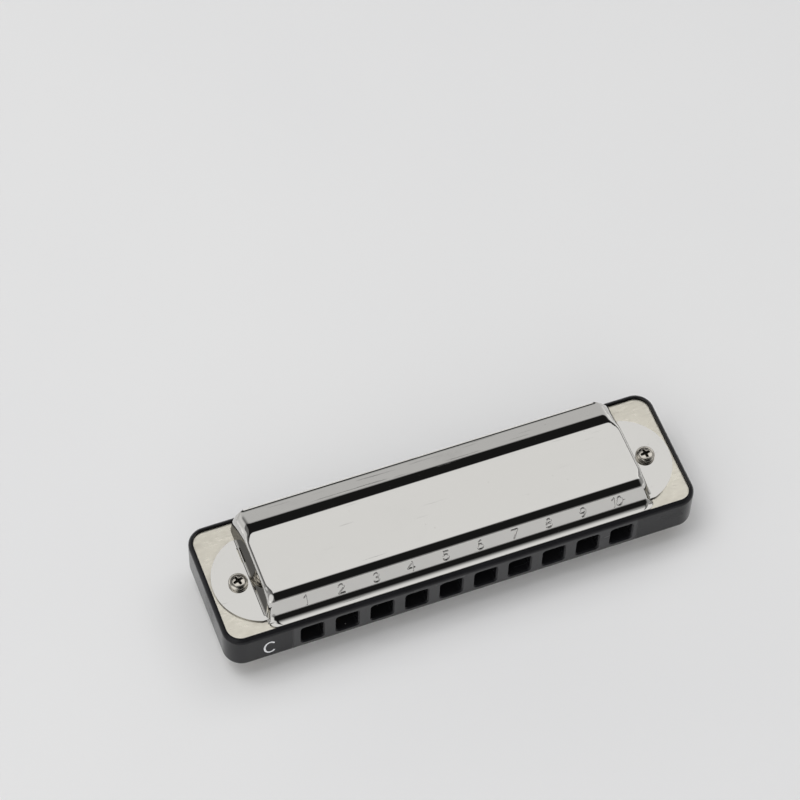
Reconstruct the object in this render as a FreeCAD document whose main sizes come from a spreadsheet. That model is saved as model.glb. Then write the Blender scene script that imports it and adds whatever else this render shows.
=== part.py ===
"""Ten-hole diatonic harmonica, built as a parametric FreeCAD document.

Own frame, in millimetres: +X runs along the comb from the low notes to the high notes, the
mouth side faces -Y, and +Z is up.  The origin lies under the middle of the comb, on the plane
that the flat of the lower cover rests on.
"""
import FreeCAD, Part
import math
import os

import Sketcher

NOTE_COUNT = 10

# Two places nearer than this are the same place.
TOLERANCE = 1e-6

# Driving dimensions: alias, value in millimetres (angles in degrees), meaning.
SIZES = [
    ("comb_length", 102.6, "comb, end to end"),
    ("comb_depth", 28.5, "comb, mouth side to back"),
    ("comb_height", 9.7, "comb, rim to rim"),
    ("comb_corner", 4.0, "plan radius of the comb's corners"),
    ("comb_round", 1.2, "rounding of the comb's long outer edges"),
    ("rim_width", 0.94, "rim that stands round each reed plate"),
    ("rim_rise", 0.73, "rim above the face of the reed plate"),
    ("hole_pitch", 7.5, "one note to the next"),
    ("hole_shift", 0.3, "middle of the row of notes, right of the comb's middle"),
    ("hole_width", 4.65, "mouth hole"),
    ("hole_height", 5.5, "mouth hole"),
    ("hole_corner", 0.6, "radius in the corners of a mouth hole"),
    ("hole_bevel", 0.3, "bevel round the mouth holes"),
    ("channel_width", 4.7, "air channel behind a mouth hole"),
    ("channel_front", 11.2, "front end of the channels, ahead of the middle"),
    ("channel_back", 10.8, "back end of the channels, behind the middle"),
    ("plate_thick", 0.92, "reed plate"),
    ("plate_gap", 0.06, "play between reed plate and rim"),
    ("plate_corner", 3.0, "plan radius of the recess for the reed plate"),
    ("sheet", 0.45, "sheet metal of the covers"),
    ("cover_rise", 4.8, "flat of a cover above the rim"),
    ("cover_half", 42.0, "foot of a cover's end wall, from the middle"),
    ("ridge_half", 40.9, "top edge of a cover's end wall, from the middle"),
    ("slope_foot", 11.4, "foot of the front slope, ahead of the middle"),
    ("slope_angle", 68.0, "front slope against the flat, in degrees"),
    ("shoulder", 2.4, "bend between front slope and flat"),
    ("crest_back", 8.0, "where the flat turns down, behind the middle"),
    ("crest_bend", 9.0, "bend between flat and rear slope"),
    ("lip_start", 12.75, "start of the rear lip, behind the middle"),
    ("lip_end", 13.3, "rear lip, behind the middle"),
    ("lip_rise", 2.55, "rear lip above the rim"),
    ("ridge_round", 0.8, "rounding along the top of the end walls"),
    ("flange_edge", 13.1, "front edge of the cover's flange, ahead of the middle"),
    ("flange_half", 41.6, "end of the flange, from the middle"),
    ("tab_centre", 39.5, "centre of a tab's outline, from the middle"),
    ("tab_radius", 10.4, "outline of a tab"),
    ("screw_x", 44.6, "cover screws, from the middle"),
    ("screw_ahead", 0.9, "cover screws, ahead of the middle"),
    ("screw_shank", 2.0, "diameter of the cover screws"),
    ("screw_bore", 2.4, "bore for the cover screws"),
    ("head_wide", 4.0, "head of a cover screw"),
    ("head_high", 1.5, "head of a cover screw"),
    ("head_round", 0.9, "rounding of the head"),
    ("cross_long", 2.1, "cross recess, tip to tip"),
    ("cross_wide", 0.5, "arm of the cross recess"),
    ("cross_deep", 0.9, "depth of the cross recess"),
    ("nut_flats", 4.0, "nut, across flats"),
    ("nut_high", 1.6, "nut"),
    ("thread_play", 0.02, "radial play between a nut and its screw"),
    ("thread_spare", 0.3, "screw end past its nut"),
    ("slot_ahead", 3.5, "vent slot at a tab's fold, behind the middle"),
    ("slot_long", 3.5, "vent slot"),
    ("slot_wide", 0.7, "vent slot"),
    ("pin_shank", 1.5, "plate screw"),
    ("pin_head", 2.2, "head of a plate screw"),
    ("pin_head_high", 0.6, "head of a plate screw"),
    ("pin_long", 3.0, "plate screw under its head, past the plate"),
    ("pin_play", 0.05, "radial play round a plate screw"),
    ("pin_slot_wide", 0.4, "slot in the head of a plate screw"),
    ("pin_slot_deep", 0.3, "slot in the head of a plate screw"),
    ("pin_back", 12.05, "rear plate screws, behind the middle"),
    ("pin_front", 9.2, "front plate screws, ahead of the middle"),
    ("reed_width", 2.3, "free reed"),
    ("reed_root", 0.30, "thickness of a reed at its root"),
    ("reed_waist", 0.20, "thickness of a reed in the middle"),
    ("reed_tip_low", 0.42, "thickness at the weighted tip of the lowest reed"),
    ("reed_tip_high", 0.20, "thickness at the tip of the highest reed"),
    ("waist_start", 0.3, "share of a reed's free length from its root"),
    ("waist_end", 0.7, "share of a reed's free length from its root"),
    ("tip_start", 0.8, "share of a reed's free length from its root"),
    ("reed_lift", 0.05, "gap between a reed and its plate"),
    ("reed_slot_play", 0.07, "gap round a reed in its slot"),
    ("root_gap", 0.02, "gap between a reed's root and its pad"),
    ("slot_inset", 0.30, "from the hinge line to the start of the slot"),
    ("pad_width", 3.0, "fixed end of a reed"),
    ("pad_long", 2.8, "fixed end of a reed"),
    ("pad_thick", 0.5, "fixed end of a reed"),
    ("blow_pad", 7.4, "inner end of the blow reeds' pads, behind the middle"),
    ("draw_pad", 7.6, "inner end of the draw reeds' pads, ahead of the middle"),
    ("blow_low", 16.4, "free length of the lowest blow reed"),
    ("blow_high", 9.6, "free length of the highest blow reed"),
    ("draw_low", 16.0, "free length of the lowest draw reed"),
    ("draw_high", 9.9, "free length of the highest draw reed"),
    ("rivet_shank", 0.9, "reed rivet"),
    ("rivet_head", 1.5, "reed rivet"),
    ("rivet_head_high", 0.22, "reed rivet"),
    ("rivet_play", 0.03, "radial play round a rivet"),
    ("overlap", 1.0, "how far a cutter reaches past what it cuts"),
]

# Plate screws: note steps from the middle of the row, at the back and between the channels.
REAR_PIN_STEPS = (-4, 0, 4)
FRONT_PIN_STEPS = (-2, 2)

# Heights used again and again, measured from the mid-plane of the comb.
RIM = "(Sizes.comb_height / 2)"
PLATE_FACE = "(Sizes.comb_height / 2 - Sizes.rim_rise)"
CORE_FACE = "(Sizes.comb_height / 2 - Sizes.rim_rise - Sizes.plate_thick)"
MID_HEIGHT = "(Sizes.cover_rise + Sizes.comb_height / 2)"
FIRST_NOTE = "(Sizes.hole_shift - Sizes.hole_pitch * %s)" % ((NOTE_COUNT - 1) / 2)


# ---------------------------------------------------------------- helpers

def make_sheet(doc):
    """Put the driving dimensions in a spreadsheet, one row each."""
    sheet = doc.addObject("Spreadsheet::Sheet", "Sizes")
    for row, (alias, value, meaning) in enumerate(SIZES, start=1):
        sheet.set("A%d" % row, meaning)
        sheet.set("B%d" % row, str(value))
        sheet.setAlias("B%d" % row, alias)
    doc.recompute()


def number(obj, text):
    """Value that an expression has now."""
    return float(obj.evalExpression(text))


def note_x(index):
    """Expression for the middle of one note, counted from 0 at the low end."""
    return "(%s + Sizes.hole_pitch * %d)" % (FIRST_NOTE, index)


def reed_length(plate, index):
    """Expression for the free length of one reed: even steps from low to high."""
    low = "Sizes.%s_low" % plate
    high = "Sizes.%s_high" % plate
    return "(%s + (%s - %s) * %d / %d)" % (low, high, low, index, NOTE_COUNT - 1)


def new_body(doc, label):
    """An empty PartDesign body whose label names its node."""
    body = doc.addObject("PartDesign::Body", label)
    body.Label = label
    return body


def new_sketch(body, name, role, height="0"):
    """A sketch on one of the body's origin planes, moved along its normal by height."""
    plane = next(item for item in body.Origin.OriginFeatures if item.Role == role)
    sketch = body.newObject("Sketcher::SketchObject", name)
    sketch.AttachmentSupport = [(plane, "")]
    sketch.MapMode = "FlatFace"
    sketch.setExpression(".AttachmentOffset.Base.z", height)
    return sketch


def bind(sketch, kind, geometry, point, text):
    """Fix one size of a sketch and tie it to an expression."""
    value = number(sketch, text)
    if point is None:
        index = sketch.addConstraint(Sketcher.Constraint(kind, geometry, value))
    else:
        index = sketch.addConstraint(Sketcher.Constraint(kind, geometry, point, value))
    sketch.setExpression("Constraints[%d]" % index, text)


def draw_polygon(sketch, corners):
    """A closed outline of straight lines; corners are pairs of expressions."""
    points = [FreeCAD.Vector(number(sketch, x), number(sketch, y), 0) for x, y in corners]
    first = sketch.GeometryCount
    count = len(points)
    for i in range(count):
        sketch.addGeometry(Part.LineSegment(points[i], points[(i + 1) % count]))
    for i, (x, y) in enumerate(corners):
        following = first + (i + 1) % count
        sketch.addConstraint(Sketcher.Constraint("Coincident", first + i, 2, following, 1))
        bind(sketch, "DistanceX", first + i, 1, x)
        bind(sketch, "DistanceY", first + i, 1, y)


def draw_rectangle(sketch, left, right, bottom, top):
    """A rectangle given by the expressions of its sides."""
    draw_polygon(sketch, [(left, bottom), (right, bottom), (right, top), (left, top)])


def draw_circle(sketch, x, y, diameter):
    """A circle given by the expressions of its middle and diameter."""
    centre = FreeCAD.Vector(number(sketch, x), number(sketch, y), 0)
    radius = number(sketch, diameter) / 2
    circle = sketch.addGeometry(Part.Circle(centre, FreeCAD.Vector(0, 0, 1), radius))
    bind(sketch, "DistanceX", circle, 3, x)
    bind(sketch, "DistanceY", circle, 3, y)
    bind(sketch, "Diameter", circle, None, diameter)


def draw_rounded_rectangle(sketch, x, y, width, depth, radius):
    """A rectangle about (x, y) with round corners; every value is an expression."""
    across = "(%s) / 2 - (%s)" % (width, radius)
    along = "(%s) / 2 - (%s)" % (depth, radius)
    quarter = math.pi / 2
    arcs = []
    for turn, (sx, sy) in enumerate((("+", "+"), ("-", "+"), ("-", "-"), ("+", "-"))):
        cx = "%s %s (%s)" % (x, sx, across)
        cy = "%s %s (%s)" % (y, sy, along)
        centre = FreeCAD.Vector(number(sketch, cx), number(sketch, cy), 0)
        circle = Part.Circle(centre, FreeCAD.Vector(0, 0, 1), number(sketch, radius))
        arc = Part.ArcOfCircle(circle, turn * quarter, (turn + 1) * quarter)
        arcs.append(sketch.addGeometry(arc))
        bind(sketch, "DistanceX", arcs[-1], 3, cx)
        bind(sketch, "DistanceY", arcs[-1], 3, cy)
        bind(sketch, "Radius", arcs[-1], None, radius)
    for turn, arc in enumerate(arcs):
        following = arcs[(turn + 1) % 4]
        start = sketch.getPoint(arc, 2)
        end = sketch.getPoint(following, 1)
        line = sketch.addGeometry(Part.LineSegment(start, end))
        sketch.addConstraint(Sketcher.Constraint("Tangent", arc, 2, line, 1))
        sketch.addConstraint(Sketcher.Constraint("Tangent", line, 2, following, 1))


def draw_half_disc(sketch, x, y, radius, chord, side):
    """The part of a disc beyond an upright chord; side is +1 or -1 along X."""
    centre = FreeCAD.Vector(number(sketch, x), number(sketch, y), 0)
    reach = number(sketch, radius)
    offset = number(sketch, chord) - centre.x
    rise = (reach ** 2 - offset ** 2) ** 0.5
    low = FreeCAD.Vector(centre.x + offset, centre.y - rise, 0)
    high = FreeCAD.Vector(centre.x + offset, centre.y + rise, 0)
    far = FreeCAD.Vector(centre.x + side * reach, centre.y, 0)
    arc = sketch.addGeometry(Part.Arc(low, far, high))
    first, last = sketch.getPoint(arc, 1), sketch.getPoint(arc, 2)
    line = sketch.addGeometry(Part.LineSegment(last, first))
    sketch.addConstraint(Sketcher.Constraint("Coincident", arc, 2, line, 1))
    sketch.addConstraint(Sketcher.Constraint("Coincident", line, 2, arc, 1))
    sketch.addConstraint(Sketcher.Constraint("Vertical", line))
    bind(sketch, "DistanceX", arc, 3, x)
    bind(sketch, "DistanceY", arc, 3, y)
    bind(sketch, "Radius", arc, None, radius)
    bind(sketch, "DistanceX", line, 1, chord)


def add_pad(body, sketch, length, symmetric=False, reverse=False):
    """Extrude a sketch into the body."""
    pad = body.newObject("PartDesign::Pad", sketch.Name + "_pad")
    pad.Profile = sketch
    pad.setExpression("Length", length)
    if symmetric:
        pad.SideType = "Symmetric"
    pad.Reversed = reverse
    body.Document.recompute()
    return pad


def add_pocket(body, sketch, depth, symmetric=False, reverse=False):
    """Cut a sketch out of the body, and make sure that it took something away."""
    before = body.Shape.Volume
    pocket = body.newObject("PartDesign::Pocket", sketch.Name + "_pocket")
    pocket.Profile = sketch
    pocket.setExpression("Length", depth)
    if symmetric:
        pocket.SideType = "Symmetric"
    pocket.Reversed = reverse
    body.Document.recompute()
    if body.Shape.Volume >= before - TOLERANCE:
        raise RuntimeError("pocket %s cuts nothing" % pocket.Name)
    return pocket


def repeat_notes(body, features, name):
    """Repeat features along the row of notes."""
    sketch = features[0].Profile[0]
    pattern = body.newObject("PartDesign::LinearPattern", name)
    pattern.Originals = features
    pattern.Direction = (sketch, ["H_Axis"])
    pattern.setExpression("Length", "Sizes.hole_pitch * %d" % (NOTE_COUNT - 1))
    pattern.Occurrences = NOTE_COUNT
    body.Tip = pattern
    body.Document.recompute()
    return pattern


def edge_names(feature, wanted):
    """Names of a feature's edges that pass a test on the edge."""
    edges = feature.Shape.Edges
    return ["Edge%d" % (i + 1) for i, edge in enumerate(edges) if wanted(edge)]


def add_fillet(body, base, wanted, radius, name):
    """Round the edges of a feature that pass a test."""
    fillet = body.newObject("PartDesign::Fillet", name)
    fillet.Base = (base, edge_names(base, wanted))
    fillet.setExpression("Radius", radius)
    body.Document.recompute()
    return fillet


def middle(edge):
    """A point half-way along an edge."""
    return edge.valueAt((edge.FirstParameter + edge.LastParameter) / 2)


def place(obj, height, turned=False):
    """Put a piece that is drawn about the comb's mid-plane at its height, or upside down."""
    if turned:
        obj.Placement.Rotation = FreeCAD.Rotation(FreeCAD.Vector(0, 1, 0), 180)
    obj.setExpression(".Placement.Base.z", height)


# ---------------------------------------------------------------- comb

def make_comb(doc):
    """Moulded comb: rims round both reed plates, ten mouth holes and ten air channels."""
    body = new_body(doc, "comb")
    outline = new_sketch(body, "comb_outline", "XY_Plane")
    draw_rounded_rectangle(outline, "0", "0", "Sizes.comb_length", "Sizes.comb_depth",
                           "Sizes.comb_corner")
    block = add_pad(body, outline, "Sizes.comb_height", symmetric=True)
    half = number(body, RIM)
    rounded = add_fillet(body, block, lambda edge: abs(abs(middle(edge).z) - half) < TOLERANCE,
                         "Sizes.comb_round", "comb_rounding")
    for side, sign in (("upper", 1), ("lower", -1)):
        recess = new_sketch(body, side + "_recess", "XY_Plane", "%d * %s" % (sign, RIM))
        draw_rounded_rectangle(recess, "0", "0", "Sizes.comb_length - 2 * Sizes.rim_width",
                               "Sizes.comb_depth - 2 * Sizes.rim_width", "Sizes.plate_corner")
        add_pocket(body, recess, "Sizes.rim_rise + Sizes.plate_thick", reverse=sign < 0)

    mouth = new_sketch(body, "mouth_hole", "XZ_Plane", "Sizes.comb_depth / 2")
    draw_rounded_rectangle(mouth, note_x(0), "0", "Sizes.hole_width", "Sizes.hole_height",
                           "Sizes.hole_corner")
    hole = add_pocket(body, mouth,
                      "Sizes.comb_depth / 2 - Sizes.channel_front + Sizes.overlap")
    run = new_sketch(body, "air_channel", "XY_Plane")
    draw_rectangle(run, note_x(0) + " - Sizes.channel_width / 2",
                   note_x(0) + " + Sizes.channel_width / 2",
                   "-Sizes.channel_front", "Sizes.channel_back")
    channel = add_pocket(body, run, "2 * " + CORE_FACE, symmetric=True)
    notes = repeat_notes(body, [hole, channel], "comb_notes")

    front = -number(body, "Sizes.comb_depth / 2")
    reach = number(body, "Sizes.hole_height / 2") + TOLERANCE
    longest = number(body, "Sizes.hole_height")

    def is_mouth(edge):
        spot = middle(edge)
        return abs(spot.y - front) < TOLERANCE and abs(spot.z) < reach and edge.Length < longest

    bevel = body.newObject("PartDesign::Chamfer", "mouth_bevels")
    bevel.Base = (notes, edge_names(notes, is_mouth))
    bevel.setExpression("Size", "Sizes.hole_bevel")
    doc.recompute()

    bores = new_sketch(body, "screw_bores", "XY_Plane")
    draw_screw_bores(bores)
    draw_pin_holes(bores)
    add_pocket(body, bores, "Sizes.comb_height", symmetric=True)
    place(body, MID_HEIGHT)
    return body


def draw_screw_bores(sketch):
    """The two bores for the cover screws."""
    for sign in ("", "-"):
        draw_circle(sketch, sign + "Sizes.screw_x", "-Sizes.screw_ahead", "Sizes.screw_bore")


def pin_places():
    """Expressions for the plate screws' places."""
    step = "Sizes.hole_shift + Sizes.hole_pitch * %d"
    rear = [(step % steps, "Sizes.pin_back") for steps in REAR_PIN_STEPS]
    front = [(step % steps, "-Sizes.pin_front") for steps in FRONT_PIN_STEPS]
    return rear + front


def draw_pin_holes(sketch):
    """Pilot holes for the screws that hold the reed plates."""
    for x, y in pin_places():
        draw_circle(sketch, x, y, "Sizes.pin_shank + 2 * Sizes.pin_play")


# ---------------------------------------------------------------- reed plates and reeds

def reed_places(plate):
    """Expressions for one reed: y of its pad's inner end, and the way that it points."""
    if plate == "blow":
        return "Sizes.blow_pad", "-"
    return "(-Sizes.draw_pad)", "+"


def hinge_y(plate):
    """Expression for the line that a reed swings about."""
    pad, way = reed_places(plate)
    return "(%s %s (Sizes.root_gap + Sizes.reed_root / 2))" % (pad, way)


def make_reed_plate(doc, label, plate):
    """One reed plate with its ten slots, rivet holes and screw holes."""
    body = new_body(doc, label)
    outline = new_sketch(body, label + "_outline", "XY_Plane", CORE_FACE)
    play = " - 2 * Sizes.rim_width - 2 * Sizes.plate_gap"
    draw_rounded_rectangle(outline, "0", "0", "Sizes.comb_length" + play,
                           "Sizes.comb_depth" + play, "Sizes.plate_corner")
    add_pad(body, outline, "Sizes.plate_thick")

    slots = new_sketch(body, label + "_slots", "XY_Plane", PLATE_FACE)
    half = "(Sizes.reed_width / 2 + Sizes.reed_slot_play)"
    for index in range(NOTE_COUNT):
        x = plate_note_x(plate, index)
        way = reed_places(plate)[1]
        start = "%s %s Sizes.slot_inset" % (hinge_y(plate), way)
        end = "%s %s (%s + Sizes.reed_slot_play)" % (hinge_y(plate), way,
                                                     reed_length(plate, index))
        low, high = (end, start) if way == "-" else (start, end)
        draw_rectangle(slots, x + " - " + half, x + " + " + half, low, high)
    add_pocket(body, slots, "Sizes.plate_thick")

    holes = new_sketch(body, label + "_holes", "XY_Plane", PLATE_FACE)
    sign = "-" if plate == "draw" else ""
    draw_screw_bores(holes)
    for x, y in pin_places():
        draw_circle(holes, "%s(%s)" % (sign, x), y, "Sizes.pin_shank + 2 * Sizes.pin_play")
    for index in range(NOTE_COUNT):
        draw_circle(holes, plate_note_x(plate, index), rivet_y(plate),
                    "Sizes.rivet_shank + 2 * Sizes.rivet_play")
    add_pocket(body, holes, "Sizes.plate_thick")
    place(body, MID_HEIGHT, turned=plate == "draw")
    return body


def plate_note_x(plate, index):
    """Note place in the frame of a plate: the lower plate is drawn upside down."""
    return note_x(index) if plate == "blow" else "(-%s)" % note_x(index)


def rivet_y(plate):
    """Expression for the line of rivets, in the middle of the pads."""
    if plate == "blow":
        return "(Sizes.blow_pad + Sizes.pad_long / 2)"
    return "(-Sizes.draw_pad - Sizes.pad_long / 2)"


def pad_base(plate):
    """Expression for the face of the plate that carries the reeds, from the mid-plane."""
    return CORE_FACE if plate == "blow" else "(-%s)" % PLATE_FACE


def make_pads(doc, label, plate):
    """The ten fixed ends of one plate's reeds, each a small block under the plate."""
    body = new_body(doc, label)
    sketch = new_sketch(body, label + "_outlines", "XY_Plane", pad_base(plate))
    near = "Sizes.blow_pad" if plate == "blow" else "(-Sizes.draw_pad - Sizes.pad_long)"
    for index in range(NOTE_COUNT):
        x = note_x(index)
        draw_rectangle(sketch, x + " - Sizes.pad_width / 2", x + " + Sizes.pad_width / 2",
                       near, near + " + Sizes.pad_long")
        draw_circle(sketch, x, rivet_y(plate), "Sizes.rivet_shank + 2 * Sizes.rivet_play")
    add_pad(body, sketch, "Sizes.pad_thick", reverse=True)
    place(body, MID_HEIGHT)
    return body


def make_rivets(doc, label, plate):
    """The ten rivets of one plate, through pad and plate, with a head on each side."""
    body = new_body(doc, label)
    stack = "(Sizes.pad_thick + Sizes.plate_thick)"
    low = "(%s - Sizes.pad_thick)" % pad_base(plate)
    layers = (("foot", low, "Sizes.rivet_head", "Sizes.rivet_head_high", True),
              ("shank", low, "Sizes.rivet_shank", stack, False),
              ("crown", low + " + " + stack, "Sizes.rivet_head", "Sizes.rivet_head_high",
               False))
    pads = []
    for name, height, diameter, length, downward in layers:
        sketch = new_sketch(body, label + "_" + name, "XY_Plane", height)
        for index in range(NOTE_COUNT):
            draw_circle(sketch, note_x(index), rivet_y(plate), diameter)
        pads.append(add_pad(body, sketch, length, reverse=downward))
    place(body, MID_HEIGHT)
    return body


def make_reed(doc, label, plate, index):
    """One free reed: half-round root, thin waist and a tip that is heavier on low notes."""
    body = new_body(doc, label)
    side = new_sketch(body, label + "_side", "YZ_Plane")
    way = reed_places(plate)[1]
    root = hinge_y(plate)
    reach = reed_length(plate, index)
    tip = ("(Sizes.reed_tip_low + (Sizes.reed_tip_high - Sizes.reed_tip_low) * %d / %d)"
           % (index, NOTE_COUNT - 1))
    flat = "(%s - Sizes.reed_lift)" % pad_base(plate)
    outline = [("%s %s %s" % (root, way, reach), flat), (root, flat)]
    for share, thick in (("0", "Sizes.reed_root"), ("Sizes.waist_start", "Sizes.reed_waist"),
                         ("Sizes.waist_end", "Sizes.reed_waist"), ("Sizes.tip_start", tip),
                         ("1", tip)):
        outline.append(("%s %s %s * %s" % (root, way, reach, share),
                        "%s - %s" % (flat, thick)))
    draw_polygon(side, outline)
    add_pad(body, side, "Sizes.reed_width", symmetric=True)

    knuckle = new_sketch(body, label + "_root", "YZ_Plane")
    draw_circle(knuckle, root, "%s - Sizes.reed_root / 2" % flat, "Sizes.reed_root")
    add_pad(body, knuckle, "Sizes.reed_width", symmetric=True)
    body.setExpression(".Placement.Base.x", note_x(index))
    place(body, MID_HEIGHT)
    return body


# ---------------------------------------------------------------- covers

COVER_BASE = "(Sizes.comb_height / 2 - Sizes.rim_rise)"
COVER_TOP = "(Sizes.comb_height / 2 + Sizes.cover_rise)"
COVER_DEEP = "(Sizes.rim_rise + Sizes.cover_rise)"
REAR_TURN = "atan2(Sizes.cover_rise - Sizes.lip_rise; Sizes.lip_start - Sizes.crest_back)"


def draw_cover_section(sketch, inset, spare):
    """Section of a cover, moved inwards by inset and drawn longer by spare where it is open."""
    slope = "(Sizes.slope_angle * 1deg)"
    foot = "-Sizes.slope_foot + %s / sin(%s)" % (inset, slope)
    rear = "%s * tan(%s / 2)" % (inset, REAR_TURN)
    lip = "(%s + Sizes.lip_rise) - %s" % (RIM, inset)
    draw_polygon(sketch, [
        ("%s - %s / tan(%s)" % (foot, spare, slope), "%s - %s" % (COVER_BASE, spare)),
        ("%s + (%s - %s) / tan(%s)" % (foot, COVER_DEEP, inset, slope),
         "%s - %s" % (COVER_TOP, inset)),
        ("Sizes.crest_back - " + rear, "%s - %s" % (COVER_TOP, inset)),
        ("Sizes.lip_start - " + rear, lip),
        ("Sizes.lip_end + " + spare, lip),
        ("Sizes.lip_end + " + spare, "%s - %s" % (COVER_BASE, spare))])


def make_hull(doc, name, inset, spare):
    """The space inside a surface that lies inset within the outside of a cover."""
    body = new_body(doc, name)
    section = new_sketch(body, name + "_section", "YZ_Plane")
    draw_cover_section(section, inset, spare)
    block = add_pad(body, section, "2 * Sizes.cover_half", symmetric=True)

    lean = "(Sizes.cover_half - Sizes.ridge_half)"
    wall = "%s * sqrt(1 + pow(%s / %s; 2))" % (inset, lean, COVER_DEEP)
    low = "(Sizes.cover_half + %s * %s / %s - %s)" % (lean, spare, COVER_DEEP, wall)
    high = "(Sizes.ridge_half - %s * Sizes.overlap / %s - %s)" % (lean, COVER_DEEP, wall)
    ends = new_sketch(body, name + "_ends", "XZ_Plane")
    for sign in ("", "-"):
        draw_polygon(ends, [
            (sign + low, "%s - %s" % (COVER_BASE, spare)),
            (sign + "(Sizes.cover_half + Sizes.overlap)", "%s - %s" % (COVER_BASE, spare)),
            (sign + "(Sizes.cover_half + Sizes.overlap)", COVER_TOP + " + Sizes.overlap"),
            (sign + high, COVER_TOP + " + Sizes.overlap")])
    block = add_pocket(body, ends, "4 * Sizes.comb_depth", symmetric=True)

    top = number(body, "%s - %s" % (COVER_TOP, inset))
    halfway = number(body, "Sizes.crest_back / 2")

    def is_bend(edge, behind):
        spot = middle(edge)
        along_row = abs(spot.x) < TOLERANCE
        return along_row and abs(spot.z - top) < TOLERANCE and (spot.y > halfway) == behind

    block = add_fillet(body, block, lambda edge: is_bend(edge, False),
                       "Sizes.shoulder - " + inset, name + "_shoulder")
    block = add_fillet(body, block, lambda edge: is_bend(edge, True),
                       "Sizes.crest_bend - " + inset, name + "_crest")

    ridge_x = number(body, "Sizes.ridge_half / 2")
    rear = number(body, "Sizes.lip_end + " + spare)
    open_edge = number(body, "%s - %s" % (COVER_BASE, spare))

    def is_ridge(edge):
        spot = middle(edge)
        on_back = min(vertex.Y for vertex in edge.Vertexes) > rear - TOLERANCE
        on_foot = max(vertex.Z for vertex in edge.Vertexes) < open_edge + TOLERANCE
        return abs(spot.x) > ridge_x and not on_back and not on_foot

    add_fillet(body, block, is_ridge, "Sizes.ridge_round - " + inset, name + "_ridge")
    return body


def make_foot(doc, name):
    """Flat foot of a cover: the front flange and the two tabs, with their holes and slots."""
    body = new_body(doc, name)
    flange = new_sketch(body, name + "_flange", "XY_Plane", COVER_BASE)
    deep = "(Sizes.flange_edge - Sizes.slope_foot + Sizes.sheet / 2)"
    draw_rectangle(flange, "-Sizes.flange_half", "Sizes.flange_half",
                   "-Sizes.flange_edge", "-Sizes.flange_edge + " + deep)
    add_pad(body, flange, "Sizes.sheet")

    tabs = new_sketch(body, name + "_tabs", "XY_Plane", COVER_BASE)
    for side in (1, -1):
        sign = "" if side > 0 else "-"
        draw_half_disc(tabs, sign + "Sizes.tab_centre", "-Sizes.screw_ahead",
                       "Sizes.tab_radius", sign + "(Sizes.cover_half - Sizes.sheet)", side)
    add_pad(body, tabs, "Sizes.sheet")

    cuts = new_sketch(body, name + "_cuts", "XY_Plane", COVER_BASE + " + Sizes.sheet")
    draw_screw_bores(cuts)
    for sign in ("", "-"):
        draw_rectangle(cuts, sign + "Sizes.cover_half",
                       sign + "(Sizes.cover_half + Sizes.slot_wide)",
                       "Sizes.slot_ahead", "Sizes.slot_ahead + Sizes.slot_long")
    add_pocket(body, cuts, "Sizes.sheet")
    return body


def make_cover(doc, label, turned):
    """Stamped cover: front slope, flat, rear slope and end walls of sheet, and its foot."""
    outside = make_hull(doc, label + "_outside", "0", "0")
    inside = make_hull(doc, label + "_inside", "Sizes.sheet", "Sizes.overlap")
    shell = add_cut(doc, label + "_shell", outside, inside)
    cover = add_fuse(doc, label, [shell, make_foot(doc, label + "_foot")])
    cover.Label = label
    doc.recompute()
    place(cover, MID_HEIGHT, turned)
    return cover


# ---------------------------------------------------------------- fasteners

def add_cylinder(doc, name, diameter, height, x, y, z):
    """An upright cylinder; every value is an expression."""
    solid = doc.addObject("Part::Cylinder", name)
    solid.setExpression("Radius", "(%s) / 2" % diameter)
    solid.setExpression("Height", height)
    solid.setExpression(".Placement.Base.x", x)
    solid.setExpression(".Placement.Base.y", y)
    solid.setExpression(".Placement.Base.z", z)
    return solid


def add_box(doc, name, size, x, y, z):
    """An upright box about (x, y) whose floor is at z; every value is an expression."""
    solid = doc.addObject("Part::Box", name)
    for key, text in zip(("Length", "Width", "Height"), size):
        solid.setExpression(key, text)
    solid.setExpression(".Placement.Base.x", "%s - (%s) / 2" % (x, size[0]))
    solid.setExpression(".Placement.Base.y", "%s - (%s) / 2" % (y, size[1]))
    solid.setExpression(".Placement.Base.z", z)
    return solid


def add_cross(doc, name, long, wide, deep, x, y, top):
    """A cross-shaped cutter whose upper face is at top."""
    arms = [add_box(doc, name + "_arm_x", (long, wide, deep), x, y, "%s - %s" % (top, deep)),
            add_box(doc, name + "_arm_y", (wide, long, deep), x, y, "%s - %s" % (top, deep))]
    cross = doc.addObject("Part::MultiFuse", name)
    cross.Shapes = arms
    return cross


def add_cut(doc, name, base, tool):
    """Base less tool."""
    cut = doc.addObject("Part::Cut", name)
    cut.Base = base
    cut.Tool = tool
    return cut


def add_fuse(doc, name, shapes):
    """Several solids as one."""
    fuse = doc.addObject("Part::MultiFuse", name)
    fuse.Shapes = shapes
    return fuse


def group(doc, label, pieces):
    """Separate equal pieces that share one node."""
    compound = doc.addObject("Part::Compound", label)
    compound.Label = label
    compound.Links = pieces
    return compound


TAB_FACE = "(Sizes.cover_rise + Sizes.comb_height - Sizes.rim_rise + Sizes.sheet)"
LOWER_TAB_FACE = "(Sizes.cover_rise + Sizes.rim_rise - Sizes.sheet)"


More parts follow.
